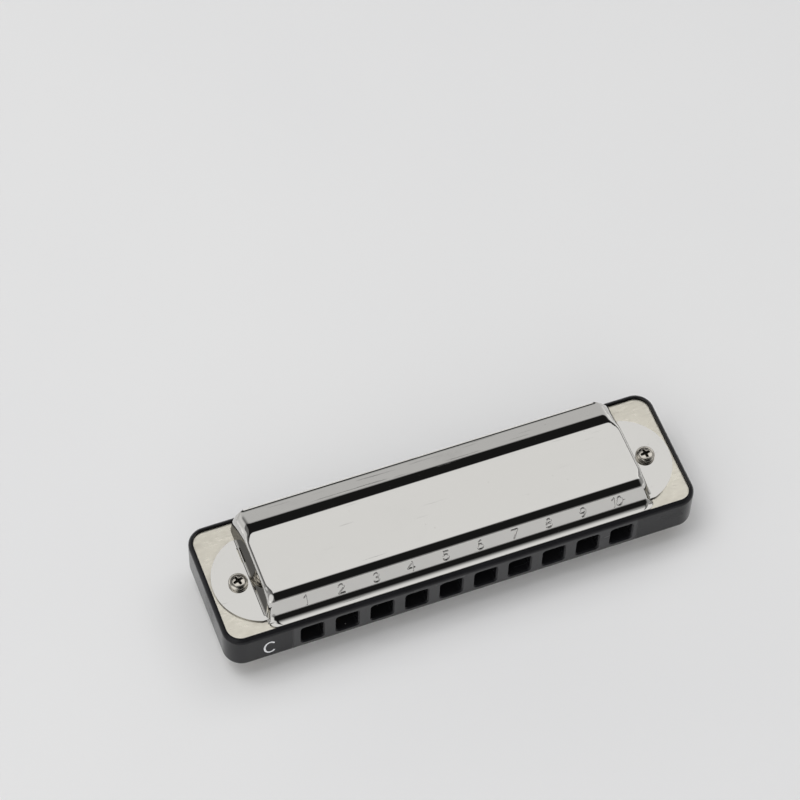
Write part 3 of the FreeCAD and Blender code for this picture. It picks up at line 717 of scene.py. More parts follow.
@dataclass(frozen=True)
class MouldedPlastic:
    """Moulded gloss plastic with rubbed edges, hairlines, dust, and a painted sheen: a lighter
    colour on the mouth face between the holes.

    The values that bound the painted sheen are in the object's metres: half its length, its lowest
    and highest place, and how far it fades out.
    """

    name: str
    tint: Colour
    worn: Colour
    sheen_tint: Colour
    roughness: float = 0.17
    specular: float = 0.2
    sheen_half: float = 0.0372
    sheen_low: float = 0.0062
    sheen_high: float = 0.0131
    sheen_soft: float = 0.0007

    def material(self) -> bpy.types.Material:
        """Build the material.

        Returns:
            The material.
        """
        material, nodes, shader = new_material(self.name)
        wear = EFFECTS.place(nodes, "edge_wear", Radius=0.00015)
        smear = EFFECTS.place(nodes, "smudges", Scale=110.0).outputs["Mask"]
        hair = EFFECTS.place(nodes, "scratches", Scale=1.3, Density=0.45).outputs["Mask"]
        dust = EFFECTS.place(nodes, "dust", Amount=0.8).outputs["Mask"]
        place = nodes.add("TexCoord").outputs["Object"]
        flow = nodes.add("TexNoise", {"Vector": place, "Scale": 70.0, "Detail": 4.0,
                                      "Distortion": 0.8})
        base = nodes.mix(nodes.ramp(flow.outputs[0], 0.3, 0.7, 0.0, 1.0), rgba(self.tint),
                         rgba(self.tint, 1.35))
        marked = nodes.mix(nodes.math("MULTIPLY", wear.outputs["Mask"], 0.4), base,
                           rgba(self.worn))
        # Painted sheen: a lighter colour on the mouth face between the holes.
        marked = nodes.mix(self.mouth_sheen(nodes, place), marked, rgba(self.sheen_tint))
        dust_and_painted_light = nodes.mix(dust, marked, rgba((0.28, 0.27, 0.25)))
        rough = nodes.add_shares(self.roughness, (smear, 0.10), (hair, 0.12), (dust, 0.4))
        texture = nodes.add("TexNoise", {"Vector": place, "Scale": 2600.0, "Detail": 3.0})
        height = nodes.math("SUBTRACT", nodes.math("MULTIPLY", texture.outputs[0], 0.25),
                            nodes.math("MULTIPLY", hair, 0.5))
        bump = nodes.add("Bump", {"Height": height, "Strength": 0.2, "Distance": 0.00004,
                                  "Normal": wear.outputs["Normal"]})
        nodes.feed(shader.inputs["Base Color"], dust_and_painted_light)
        nodes.feed(shader.inputs["Roughness"], rough)
        nodes.feed(shader.inputs["Normal"], bump.outputs[0])
        shader.inputs["IOR"].default_value = 1.5
        shader.inputs["Specular IOR Level"].default_value = self.specular
        return material

    def mouth_sheen(self, nodes: Nodes, place: bpy.types.NodeSocket) -> bpy.types.NodeSocket:
        """Where a sheen is painted, as a lighter colour, on the face between the mouth holes.

        Args:
            nodes: the material's nodes.
            place: coordinates on the object.

        Returns:
            The mask.
        """
        split = nodes.add("SeparateXYZ", {0: place})
        facing = nodes.add("SeparateXYZ", {0: nodes.add("TexCoord").outputs["Normal"]})
        aside = nodes.math("ABSOLUTE", split.outputs["X"])
        height = split.outputs["Z"]
        soft = self.sheen_soft
        return nodes.product(nodes.ramp(aside, self.sheen_half + soft, self.sheen_half),
                             nodes.ramp(height, self.sheen_low - soft, self.sheen_low),
                             nodes.ramp(height, self.sheen_high + soft, self.sheen_high),
                             nodes.ramp(facing.outputs["Y"], -0.7, -0.95))


@dataclass(frozen=True)
class PrintedInk:
    """Pad-printed ink: flat, a little uneven, with worn pinholes."""

    name: str
    tint: Colour

    def material(self) -> bpy.types.Material:
        """Build the material.

        Returns:
            The material.
        """
        material, nodes, shader = new_material(self.name)
        place = nodes.add("TexCoord").outputs["Object"]
        holes = nodes.add("TexNoise", {"Vector": place, "Scale": 5200.0, "Detail": 3.0})
        tone = nodes.add("TexNoise", {"Vector": place, "Scale": 700.0, "Detail": 3.0})
        uneven = nodes.mix(nodes.ramp(tone.outputs[0], 0.3, 0.7, 0.0, 0.5), rgba(self.tint),
                           rgba(self.tint, 0.82))
        worn = nodes.mix(nodes.ramp(holes.outputs[0], 0.66, 0.74), uneven,
                         rgba(self.tint, 0.25))
        bump = nodes.add("Bump", {"Height": tone.outputs[0], "Strength": 0.2,
                                  "Distance": 0.00002})
        nodes.feed(shader.inputs["Base Color"], worn)
        nodes.feed(shader.inputs["Roughness"], nodes.ramp(tone.outputs[0], 0.2, 0.8, 0.35, 0.5))
        nodes.feed(shader.inputs["Normal"], bump.outputs[0])
        return material


CHROME = PolishedMetal("cover_chrome", (0.665, 0.655, 0.63))
# The cover screws' recesses get painted shade.
SCREW_CHROME = PolishedMetal("screw_chrome", (0.72, 0.68, 0.61), roughness=0.20, smudge=0.12,
                             scratch=0.6, scratch_scale=2.5, shaded_recess=True)
PLATE_METAL = GrainedMetal("reed_plate", (0.87, 0.83, 0.725), (0.76, 0.71, 0.60),
                           roughness=0.30, along=2600.0, across=900.0, relief=0.12)
REED_BRASS = GrainedMetal("reed_brass", (0.83, 0.62, 0.32), (0.62, 0.42, 0.2),
                          roughness=0.24, relief=0.5)
RIVET_BRASS = PolishedMetal("rivet_brass", (0.80, 0.62, 0.34), roughness=0.2, smudge=0.15,
                            scratch=0.8, scratch_scale=3.0)
SCREW_STEEL = PolishedMetal("screw_steel", (0.56, 0.55, 0.53), roughness=0.22, smudge=0.15,
                            scratch=0.9, scratch_scale=3.0)
# The third colour is the painted sheen between the mouth holes.
COMB_PLASTIC = MouldedPlastic("comb_plastic", (0.010, 0.010, 0.0112), (0.04, 0.04, 0.042),
                              sheen_tint=(0.046, 0.046, 0.048))
KEY_INK = PrintedInk("key_ink", (0.92, 0.93, 0.95))


def dress(piece: bpy.types.Object, material: bpy.types.Material) -> None:
    """Give a piece one material.

    Args:
        piece: a mesh object.
        material: what it is made of.
    """
    piece.data.materials.clear()
    piece.data.materials.append(material)


def finish_piece(piece: bpy.types.Object, material: bpy.types.Material, slot: str,
                 *nodes: str, body: str = "root") -> None:
    """Dress a new piece, let it ride, and say what it stands for.

    Args:
        piece: the piece.
        material: what it is made of.
        slot: the record's material slot; not used.
        nodes: CAD nodes that it replaces.
        body: the body that it rides on.
    """
    dress(piece, material)
    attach(piece, body)
    if nodes:
        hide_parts(*nodes)
    LOG.info("%s: %d faces, for %s", piece.name, len(piece.data.polygons), nodes or "trim")


# ---------------------------------------------------------------- covers


@dataclass
class Cover:
    """One stamped cover: a single sheet with flange, slopes, end walls and tabs."""

    node: str
    turned: bool
    numbered: bool
    rim: float = 4.85
    base: float = -0.28
    seat: float = -0.73
    top: float = 4.8
    sheet: float = 0.45
    flange_edge: float = -13.07
    flange_half: float = 41.6
    flange_round: float = 1.4
    edge_bend: float = 0.5
    edge_lean: float = 9.0
    flange_lean: float = 19.0
    foot_bend: float = 1.2
    slope_foot: float = 59.0
    slope_top: float = 74.0
    shoulder: float = 2.45
    flat_front: float = -7.54
    flat_back: float = 6.0
    crest_bend: float = 9.0
    rear_slope: float = 20.0
    lip_bend: float = 0.9
    lip_run: float = 0.22
    lip_end: float = 13.3
    wall_foot: float = 42.0
    wall_top: float = 40.9
    wall_bend: float = 0.5
    foot_ease: float = 0.3
    ridge_round: float = 0.7
    front_round: float = 1.6
    rear_round: float = 2.1
    corner_ease: float = 1.8
    tab_x: float = 39.5
    tab_y: float = -0.9
    tab_radius: float = 10.4
    slot_low: float = 3.5
    slot_high: float = 7.0
    slot_inner: float = 42.1
    slot_outer: float = 42.34
    tab_start: float = 42.62
    fold_between: tuple[float, ...] = (42.05, 42.18, 42.26, 42.45)
    flange_fade: Point = (1.1, 1.6)
    numeral_high: float = 2.25
    numeral_pen: float = 0.12
    numeral_rise: float = 0.09
    numeral_middle: float = 1.9
    numeral_spacing: float = 0.56
    numeral_reach: float = 0.6
    pen_fade: Point = (0.35, 1.5)
    fine_step: float = 0.07
    fine_half: float = 1.5
    coarse_step: float = 0.9
    coarse_half: float = 1.8

    def section(self) -> SheetLine:
        """The outside of the sheet from the flange's edge to the rear lip.

        Returns:
            The line, with y along it and the height above the rim.
        """
        edge, rest = math.radians(self.edge_lean), math.radians(self.flange_lean)
        low, high = math.radians(self.slope_foot), math.radians(self.slope_top)
        mean, rising = (low + high) / 2, (edge + rest) / 2
        # Flange and slope are as long as the cover's height and depth ask for, less the bends.
        fixed_rise = (self.edge_bend * (1 - math.cos(edge))
                      + self.foot_bend * (math.cos(rest) - math.cos(low))
                      + self.shoulder * (1 - math.cos(high)))
        fixed_run = (self.edge_bend * math.sin(edge)
                     + self.foot_bend * (math.sin(low) - math.sin(rest))
                     + self.shoulder * math.sin(high))
        up = self.top - self.base - fixed_rise
        across = self.flat_front - self.flange_edge - fixed_run
        spread = math.sin(mean - rising)
        flange_long = (across * math.sin(mean) - up * math.cos(mean)) / spread
        slope_long = (up * math.cos(rising) - across * math.sin(rising)) / spread
        line = SheetLine(self.flange_edge, self.base)
        line.bend(self.edge_bend, self.edge_lean, 0.04)
        line.bend(flange_long / (rest - edge), self.flange_lean - self.edge_lean, 0.1)
        line.bend(self.foot_bend, self.slope_foot - self.flange_lean, 0.08)
        line.bend(slope_long / (high - low), self.slope_top - self.slope_foot, 0.07)
        line.bend(self.shoulder, -self.slope_top, 0.09)
        line.run(self.flat_back - self.flat_front, 0.55)
        rear = math.radians(self.rear_slope)
        bends = self.crest_bend + self.lip_bend
        across = self.lip_end - self.lip_run - self.flat_back - bends * math.sin(rear)
        line.bend(self.crest_bend, -self.rear_slope, 0.2)
        line.run(across / math.cos(rear), 0.4)
        line.bend(self.lip_bend, self.rear_slope, 0.08)
        line.run(self.lip_run, 0.15)
        return line

    def columns(self) -> np.ndarray:
        """Places of the sheet's points along X, closer where it bends or is embossed.

        Returns:
            The places, in order.
        """
        wall = np.arange(self.wall_top - 0.9, self.wall_foot - 0.03, 0.055)
        fold = sorted((self.wall_foot, self.slot_inner, self.slot_outer, self.tab_start,
                       *self.fold_between))
        inner = np.arange(self.wall_top - 3.0, self.wall_top - 0.95, 0.3)
        right = np.concatenate([inner, wall, fold])
        middle: list[float] = []
        step = self.fine_step if self.numbered else self.coarse_step
        half = self.fine_half if self.numbered else self.coarse_half
        for index in range(NOTES):
            middle.extend(note_x(index) + np.arange(-half, half + 1e-6, step))
            if index < NOTES - 1:
                gap = PITCH - 2 * half
                middle.extend(note_x(index) + half + gap * np.array([0.2, 0.4, 0.6, 0.8]))
        between = np.array(middle)
        kept = between[np.abs(between) < inner[0] - 0.2]
        return np.concatenate([-right[::-1], kept, right])

    def steepness(self) -> float:
        """Rise of an end wall over its run."""
        return (self.top - self.seat) / (self.wall_foot - self.wall_top)

    def off_flange(self, y: np.ndarray) -> np.ndarray:
        """How far each place is off the front flange.

        Args:
            y: places along Y.

        Returns:
            0 on the flange, 1 well behind it.
        """
        start, end = self.flange_fade
        return smoothstep(self.flange_edge + start, self.flange_edge + end, y)

    def wall_height(self, x: np.ndarray, folded: np.ndarray) -> np.ndarray:
        """Height of an end wall over each place, as if the rest weren't there.

        Args:
            x: places along X.
            folded: true where the wall's foot bends out into a tab.

        Returns:
            Heights above the rim.
        """
        steep = self.steepness()
        straight = self.seat + (self.wall_foot - np.abs(x)) * steep
        angle = math.atan(steep)
        foot_x = self.wall_foot - (self.base - self.seat) / steep
        tangent = self.wall_bend * math.tan(angle / 2)
        out = np.clip((foot_x + tangent - np.abs(x)) / self.wall_bend, 0, math.sin(angle))
        bent = self.base + self.wall_bend * (1 - np.sqrt(1 - out ** 2))
        past = np.abs(x) > foot_x - tangent * math.cos(angle)
        return np.where(folded, np.where(past, bent, straight), np.maximum(straight, self.seat))

    def heights(self, y: np.ndarray, section: np.ndarray, lean: np.ndarray,
                wall: np.ndarray) -> np.ndarray:
        """Height of the sheet where section and end wall meet in a round ridge.

        Args:
            y: places along Y.
            section: height of the section at each place.
            lean: angle of the section at each place.
            wall: height of the end wall at each place.

        Returns:
            Heights above the rim.
        """
        steep = self.steepness()
        wall_cos = 1 / math.hypot(1, steep)
        ahead = 1 - smoothstep(self.flat_front, self.flat_front + self.corner_ease, y)
        behind = smoothstep(self.flat_back - self.corner_ease, self.flat_back + self.corner_ease, y)
        radius = (self.ridge_round + (self.front_round - self.ridge_round) * ahead
                  + (self.rear_round - self.ridge_round) * behind)
        low = np.minimum(section, wall) - 3.0
        high = np.minimum(section, wall)
        for _ in range(40):
            middle = (low + high) / 2
            to_section = np.maximum((middle - section) * np.cos(lean) + radius, 0)
            to_wall = np.maximum((middle - wall) * wall_cos + radius, 0)
            outside = np.hypot(to_section, to_wall) > radius
            high = np.where(outside, middle, high)
            low = np.where(outside, low, middle)
        return (low + high) / 2

    def foot_height(self, y: np.ndarray, reach: float) -> np.ndarray:
        """Lowest height of the sheet: it rests on the plate where it has no flange or tab.

        Args:
            y: places along Y.
            reach: half length of a tab's fold.

        Returns:
            Heights above the rim.
        """
        off_tab = smoothstep(reach, reach + self.foot_ease, np.abs(y - self.tab_y))
        return self.base + (self.seat - self.base) * self.off_flange(y) * off_tab

    def emboss(self, x: np.ndarray, travel: np.ndarray) -> np.ndarray:
        """How far the numerals stand out.

        Args:
            x: places along X.
            travel: distance along the section from the middle of the numerals.

        Returns:
            Heights along the sheet's normal.
        """
        out = np.zeros(np.broadcast(x, travel).shape)
        if not self.numbered:
            return out
        for index in range(NOTES):
            digits = str(index + 1)
            for place, digit in enumerate(digits):
                shift = (place - (len(digits) - 1) / 2) * self.numeral_spacing * self.numeral_high
                across = (x - note_x(index) - shift) / self.numeral_high
                near = np.abs(across[:, 0]) < self.numeral_reach
                strokes = numeral_strokes(digit)
                away = stroke_distance(across[near], travel / self.numeral_high, strokes)
                pen = self.numeral_pen / self.numeral_high
                flat, foot = self.pen_fade
                raised = self.numeral_rise * (1 - smoothstep(flat * pen, foot * pen, away))
                out[near] = np.maximum(out[near], raised)
        return out

    def build(self, material: bpy.types.Material) -> bpy.types.Object:
        """Make the cover and put it in its place.

        Args:
            material: the cover's finish.

        Returns:
            The cover.
        """
        line = self.section()
        places = np.array(line.points)
        lean = np.array(line.angles)
        steps = np.hypot(np.diff(places[:, 0]), np.diff(places[:, 1]))
        travel = np.concatenate([[0], np.cumsum(steps)])
        columns = self.columns()
        x, y = np.meshgrid(columns, places[:, 0], indexing="ij")
        height = np.broadcast_to(places[:, 1], x.shape)
        tilt = np.broadcast_to(lean, x.shape)
        reach = math.sqrt(self.tab_radius ** 2 - (self.tab_start - self.tab_x) ** 2) - 0.02
        folded = np.abs(y - self.tab_y) < reach
        wall = self.wall_height(x, folded)
        z = self.heights(y, height, tilt, wall)
        z = np.maximum(z, self.foot_height(y, reach))
        rise = self.emboss(x, travel - self.travel_at(places, travel))
        y = y - rise * np.sin(tilt)
        z = z + rise * np.cos(tilt)
        x = self.round_rear(self.shape_flange(x, y), y)
        points, faces = self.stitch(x, y, z, folded)
        points[:, 2] += self.rim
        piece = make_mesh(self.node + "_sheet", points, faces, 50.0)
        solid = piece.modifiers.new("sheet", "SOLIDIFY")
        solid.thickness = self.sheet * MM
        solid.offset = -1.0
        apply_modifiers(piece)
        low, high = node_box("comb")
        turn = Matrix.Rotation(math.pi if self.turned else 0.0, 4, "Y")
        piece.data.transform(Matrix.Translation((0, 0, (low[2] + high[2]) / 2 * MM)) @ turn)
        piece.data.shade_smooth()
        piece.data.set_sharp_from_angle(angle=math.radians(50))
        finish_piece(piece, material, "cover_chrome", self.node)
        return piece

    def travel_at(self, places: np.ndarray, travel: np.ndarray) -> float:
        """Distance along the section to the middle of the numerals.

        Args:
            places: the section's points.
            travel: distance along the section at each point.

        Returns:
            The distance.
        """
        front = int(np.argmax(places[:, 1] > self.numeral_middle))
        return float(travel[front])

    def shape_flange(self, x: np.ndarray, y: np.ndarray) -> np.ndarray:
        """Round the ends of the front flange in plan.

        Args:
            x: places along X.
            y: places along Y.

        Returns:
            New places along X.
        """
        behind = np.clip((y - self.flange_edge) / self.flange_round, 0, 1)
        limit = self.flange_half - self.flange_round * (1 - np.sqrt(1 - (1 - behind) ** 2))
        blend = 1 - self.off_flange(y)
        factor = 1 + (limit / self.wall_foot - 1) * blend
        return np.where(np.abs(x) > self.wall_top - 3.5, x * factor, x)

    def round_rear(self, x: np.ndarray, y: np.ndarray) -> np.ndarray:
        """Turn the rear ends of the end walls in, so that the back's corners are round.

        Args:
            x: places along X.
            y: places along Y.

        Returns:
            New places along X.
        """
        past = np.clip((y - self.lip_end) / self.rear_round + 1, 0, 1)
        inset = self.rear_round * (1 - np.sqrt(1 - past ** 2 * 0.999))
        start = self.wall_top - 3.2
        share = np.clip((np.abs(x) - start) / (self.wall_foot - start), 0, 1)
        return x - np.sign(x) * inset * share

    def stitch(self, x: np.ndarray, y: np.ndarray, z: np.ndarray,
               folded: np.ndarray) -> tuple[np.ndarray, list[tuple[int, ...]]]:
        """Join the grid and the two tabs into one sheet.

        Args:
            x: places along X, by column and row.
            y: places along Y.
            z: heights.
            folded: true where the sheet goes on into a tab.

        Returns:
            Points and faces.
        """
        columns, rows = x.shape
        points = np.stack([x, y, z], axis=-1).reshape(-1, 3)
        outer = np.abs(x[:, rows // 2]) > self.wall_foot + 1e-6
        faces: list[tuple[int, ...]] = []
        for i in range(columns - 1):
            beyond = outer[i] or outer[i + 1]
            for j in range(rows - 1):
                if beyond and not (folded[i, j] and folded[i, j + 1]):
                    continue
                if beyond and self.in_slot(x[i, j], x[i + 1, j], y[i, j], y[i, j + 1]):
                    continue
                faces.append((i * rows + j, (i + 1) * rows + j, (i + 1) * rows + j + 1,
                              i * rows + j + 1))
        extra, count = [points], len(points)
        tab_steps = 16
        for side, column in ((-1, 0), (1, columns - 1)):
            tab_rows = [j for j in range(rows) if folded[column, j]]
            start = count
            for j in tab_rows:
                inner = points[column * rows + j]
                reach = math.sqrt(max(self.tab_radius ** 2 - (inner[1] - self.tab_y) ** 2, 0))
                edge = side * max(self.tab_x + reach, self.tab_start + 0.01)
                share = np.linspace(0, 1, tab_steps + 1)[1:, None]
                target = np.array([[edge, inner[1], self.base]])
                extra.append(inner * (1 - share) + target * share)
            count += len(tab_rows) * tab_steps
            for n in range(len(tab_rows) - 1):
                first, second = column * rows + tab_rows[n], column * rows + tab_rows[n + 1]
                for k in range(tab_steps):
                    a = first if k == 0 else start + n * tab_steps + k - 1
                    b = second if k == 0 else start + (n + 1) * tab_steps + k - 1
                    c = start + (n + 1) * tab_steps + k
                    d = start + n * tab_steps + k
                    faces.append((a, d, c, b) if side > 0 else (a, b, c, d))
        return np.concatenate(extra), faces

    def in_slot(self, x0: float, x1: float, y0: float, y1: float) -> bool:
        """Whether a face of the grid lies in the vent slot at a fold.

        Args:
            x0: one side of the face along X.
            x1: its other side along X.
            y0: one side of the face along Y.
            y1: its other side along Y.

        Returns:
            True inside the slot.
        """
        across = (abs(x0) + abs(x1)) / 2
        along = (y0 + y1) / 2
        return (self.slot_inner < across < self.slot_outer
                and self.slot_low < along < self.slot_high)


# ---------------------------------------------------------------- comb and plates


@dataclass
class Comb:
    """The moulded comb, and the key letter that is printed on its mouth side."""

    letter_x: float = -42.5
    letter_z: float = -5.35
    letter_wide: float = 1.2
    letter_high: float = 1.95
    letter_pen: float = 0.22
    letter_open: float = 42.0
    ink_thick: float = 0.004

    def build(self, plastic: bpy.types.Material, ink: bpy.types.Material) -> None:
        """Dress the comb and print its key letter.

        Args:
            plastic: the comb's finish.
            ink: the letter's finish.
        """
        dress(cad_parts["comb"], plastic)
        LOG.info("comb: dressed")
        self.print_letter(ink)

    def print_letter(self, ink: bpy.types.Material) -> None:
        """A thin raised layer of ink: an open ring that reads as the key of C.

        Args:
            ink: the letter's finish.
        """
        low, high = node_box("comb")
        front, rim = low[1], high[2]
        count = 72
        angles = np.radians(np.linspace(self.letter_open, 360 - self.letter_open, count))
        points = []
        for angle in angles:
            for reach, lift in ((-1, 0.0), (-0.8, 1.0), (0.8, 1.0), (1, 0.0)):
                wide = self.letter_wide + reach * self.letter_pen
                tall = self.letter_high + reach * self.letter_pen
                points.append((self.letter_x + wide * math.cos(angle),
                               front - self.ink_thick * (0.1 + lift),
                               rim + self.letter_z + tall * math.sin(angle)))
        faces = [(i * 4 + k, i * 4 + k + 1, i * 4 + k + 5, i * 4 + k + 4)
                 for i in range(count - 1) for k in range(3)]
        piece = make_mesh("key_letter", np.array(points), faces)
        piece.data.flip_normals()
        finish_piece(piece, ink, "comb_plastic")


@dataclass
class ReedPlates:
    """The two reed plates, dressed where they lie."""

    def build(self, metal: bpy.types.Material) -> None:
        """Dress both plates.

        Args:
            metal: the plates' finish.
        """
        for node in ("upper_reed_plate", "lower_reed_plate"):
            dress(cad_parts[node], metal)
            LOG.info("%s: dressed", node)


# ---------------------------------------------------------------- reeds and rivets


@dataclass
class Reed:
    """One free reed: a brass strip whose fixed end is riveted and whose tongue bends."""

    plate: Plate
    index: int
    width: float = 2.3
    pad_width: float = 3.0
    pad_long: float = 2.8
    pad_thick: float = 0.5
    root_thick: float = 0.3
    bend_zone: float = 1.6
    skin: float = 0.05

    def build(self, brass: bpy.types.Material) -> bpy.types.Object:
        """Make the reed.

        Args:
            brass: the reed's finish.

        Returns:
            The reed.
        """
        node = "%s_reed_%02d" % (self.plate.value, self.index + 1)
        low, high = node_box(node)
        pads = node_box(self.plate.value + "_reed_pads")
        toward_tip = -1.0 if self.plate is Plate.BLOW else 1.0
        root = high[1] if toward_tip < 0 else low[1]
        tip = low[1] if toward_tip < 0 else high[1]
        face = pads[1][2]
        heavy = high[2] - low[2]
        length = abs(tip - root)
        stations = [(-self.pad_long, 0.0, self.pad_thick, self.pad_width),
                    (-0.35, 0.0, self.pad_thick, self.pad_width),
                    (-0.05, 0.0, self.pad_thick * 0.8, self.pad_width * 0.92),
                    (0.12, self.skin, self.root_thick, self.width)]
        for share, thick in ((0.05, 0.3), (0.1, 0.29), (0.16, 0.27), (0.22, 0.24), (0.3, 0.2),
                             (0.5, 0.2), (0.7, 0.2), (0.76, max(0.2, heavy * 0.8)),
                             (0.8, heavy), (0.97, heavy), (0.997, heavy * 0.9)):
            stations.append((share * length, self.skin, thick, self.width))
        points, ring = [], 8
        for along, gap, thick, width in stations:
            y = root + toward_tip * along
            soft = min(0.06, thick * 0.25)
            half = width / 2
            for x, z in ((-half, gap + soft), (-half + soft, gap), (half - soft, gap),
                         (half, gap + soft), (half, thick + gap - soft),
                         (half - soft, thick + gap), (-half + soft, thick + gap),
                         (-half, thick + gap - soft)):
                points.append((note_x(self.index) + x, y, face - z))
        faces: list[tuple[int, ...]] = list(ring_faces(len(stations), ring))
        last = (len(stations) - 1) * ring
        faces.append(tuple(range(ring)))
        faces.append(tuple(last + k for k in reversed(range(ring))))
        piece = make_mesh(node + "_strip", np.array(points), faces, 35.0)
        if toward_tip < 0:
            piece.data.flip_normals()
        dress(piece, brass)
        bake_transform(piece)
        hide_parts(node, self.plate.value + "_reed_pads")
        LOG.info("%s: bends at its root", piece.name)
        return piece


@dataclass
class Rivets:
    """The ten rivets of one plate, with a domed head on each side."""

    plate: Plate
    head: float = 0.75
    shank: float = 0.45
    dome: float = 0.22
    around: int = 20

    def build(self, brass: bpy.types.Material) -> bpy.types.Object:
        """Make the row of rivets.

        Args:
            brass: the rivets' finish.

        Returns:
            All ten as one piece.
        """
        node = self.plate.value + "_reed_rivets"
        low, high = node_box(node)
        y = (low[1] + high[1]) / 2
        half = [(0.08, 0.0), (self.shank, 0.03), (0.68, 0.12), (self.head, self.dome),
                (self.shank, self.dome + 0.01)]
        profile = [(radius, low[2] + lift) for radius, lift in half]
        profile += [(radius, high[2] - lift) for radius, lift in reversed(half)]
        points, faces = [], []
        turns = np.linspace(0, 2 * math.pi, self.around, endpoint=False)
        for index in range(NOTES):
            start = len(points)
            for radius, z in profile:
                for turn in turns:
                    points.append((note_x(index) + radius * math.cos(turn),
                                   y + radius * math.sin(turn), z))
            for face in ring_faces(len(profile), self.around):
                faces.append(tuple(start + corner for corner in face))
            end = start + (len(profile) - 1) * self.around
            faces.append(tuple(start + k for k in reversed(range(self.around))))
            faces.append(tuple(end + k for k in range(self.around)))
        piece = make_mesh(node + "_row", np.array(points), faces, 45.0)
        finish_piece(piece, brass, "rivet_brass", node)
        return piece


# ---------------------------------------------------------------- fasteners


@dataclass
class ScrewHead:
    """A round screw head with a recess, on its shank."""

    radius: float
    height: float
    edge: float
    recess: Recess
    reach: float
    arm: float
    depth: float
    fullness: float = 2.3
    around: int = 96
    rings: int = 40
    shank_rows: int = 6

    def cut_depth(self, x: np.ndarray, y: np.ndarray) -> np.ndarray:
        """Depth of the recess at each place.

        Args:
            x: places across the head.
            y: places across the head, square to x.

        Returns:
            Depths.
        """
        soft = 0.05
        depth = np.zeros_like(x)
        if self.recess is Recess.SLOT:
            return self.depth * (1 - smoothstep(self.arm / 2 - soft, self.arm / 2 + soft,
                                                np.abs(y)))
        for along, across in ((x, y), (y, x)):
            taper = self.arm / 2 * (1 - 0.25 * np.abs(along) / self.reach)
            side = 1 - smoothstep(taper - soft, taper + soft, np.abs(across))
            end = 1 - smoothstep(self.reach - 0.14, self.reach, np.abs(along))
            depth = np.maximum(depth, side * end)
        well = 1 - smoothstep(self.arm * 0.55, self.arm * 0.9, np.hypot(x, y))
        cone = np.clip(1.0 - np.hypot(x, y) / self.reach * 0.62, 0, 1)
        return self.depth * cone * np.maximum(depth, well)

    def angles(self) -> np.ndarray:
        """Angles of the points round the head."""
        return np.linspace(0, 2 * math.pi, self.around, endpoint=False)

    def inner_radii(self) -> np.ndarray:
        """Radii of the head's rings, from the one inside its edge to the middle."""
        radii = self.radius * (0.02 + 0.98 * np.linspace(0, 1, self.rings))
        return radii[::-1][1:]

    def recess_shade(self, turn: float) -> np.ndarray:
        """How deep in the recess each point of the screw lies, which sets how dark the painted
        shade there is.

        Args:
            turn: how far the recess is turned, in radians.

        Returns:
            Shares of the recess's depth, in the order of the points.
        """
        angles = self.angles()
        shares = [np.zeros(self.around)] * self.shank_rows
        for radius in self.inner_radii():
            cut = self.cut_depth(radius * np.cos(angles - turn), radius * np.sin(angles - turn))
            shares.append(cut / self.depth)
        return np.concatenate(shares)

    def points(self, x: float, y: float, seat: float, foot: float,
               shank: float, turn: float) -> tuple[np.ndarray, list[tuple[int, ...]]]:
        """Points and faces of one screw that points down.

        Args:
            x: middle.
            y: middle.
            seat: height of the face under the head.
            foot: height of the shank's end.
            shank: radius of the shank.
            turn: how far the recess is turned, in radians.

        Returns:
            Points and faces.
        """
        angles = self.angles()
        rows = [(shank * 0.7, foot), (shank, foot + 0.25), (shank, seat),
                (self.radius - 0.08, seat), (self.radius, seat + 0.08),
                (self.radius, seat + self.height - self.edge)]
        cos, sin = np.cos(angles), np.sin(angles)
        points = [np.stack([radius * cos, radius * sin, np.full_like(cos, z)], axis=1)
                  for radius, z in rows]
        for radius in self.inner_radii():
            dome = math.sqrt(max(1 - (radius / self.radius) ** self.fullness, 0.0))
            z = seat + self.height - self.edge + self.edge * dome
            across = radius * np.cos(angles - turn)
            along = radius * np.sin(angles - turn)
            cut = self.cut_depth(across, along)
            points.append(np.stack([radius * cos, radius * sin, z - cut], axis=1))
        count = len(points)
        cloud = np.concatenate(points) + np.array([x, y, 0.0])
        faces: list[tuple[int, ...]] = list(ring_faces(count, self.around))
        faces.append(tuple(reversed(range(self.around))))
        faces.append(tuple((count - 1) * self.around + k for k in range(self.around)))
        return cloud, faces


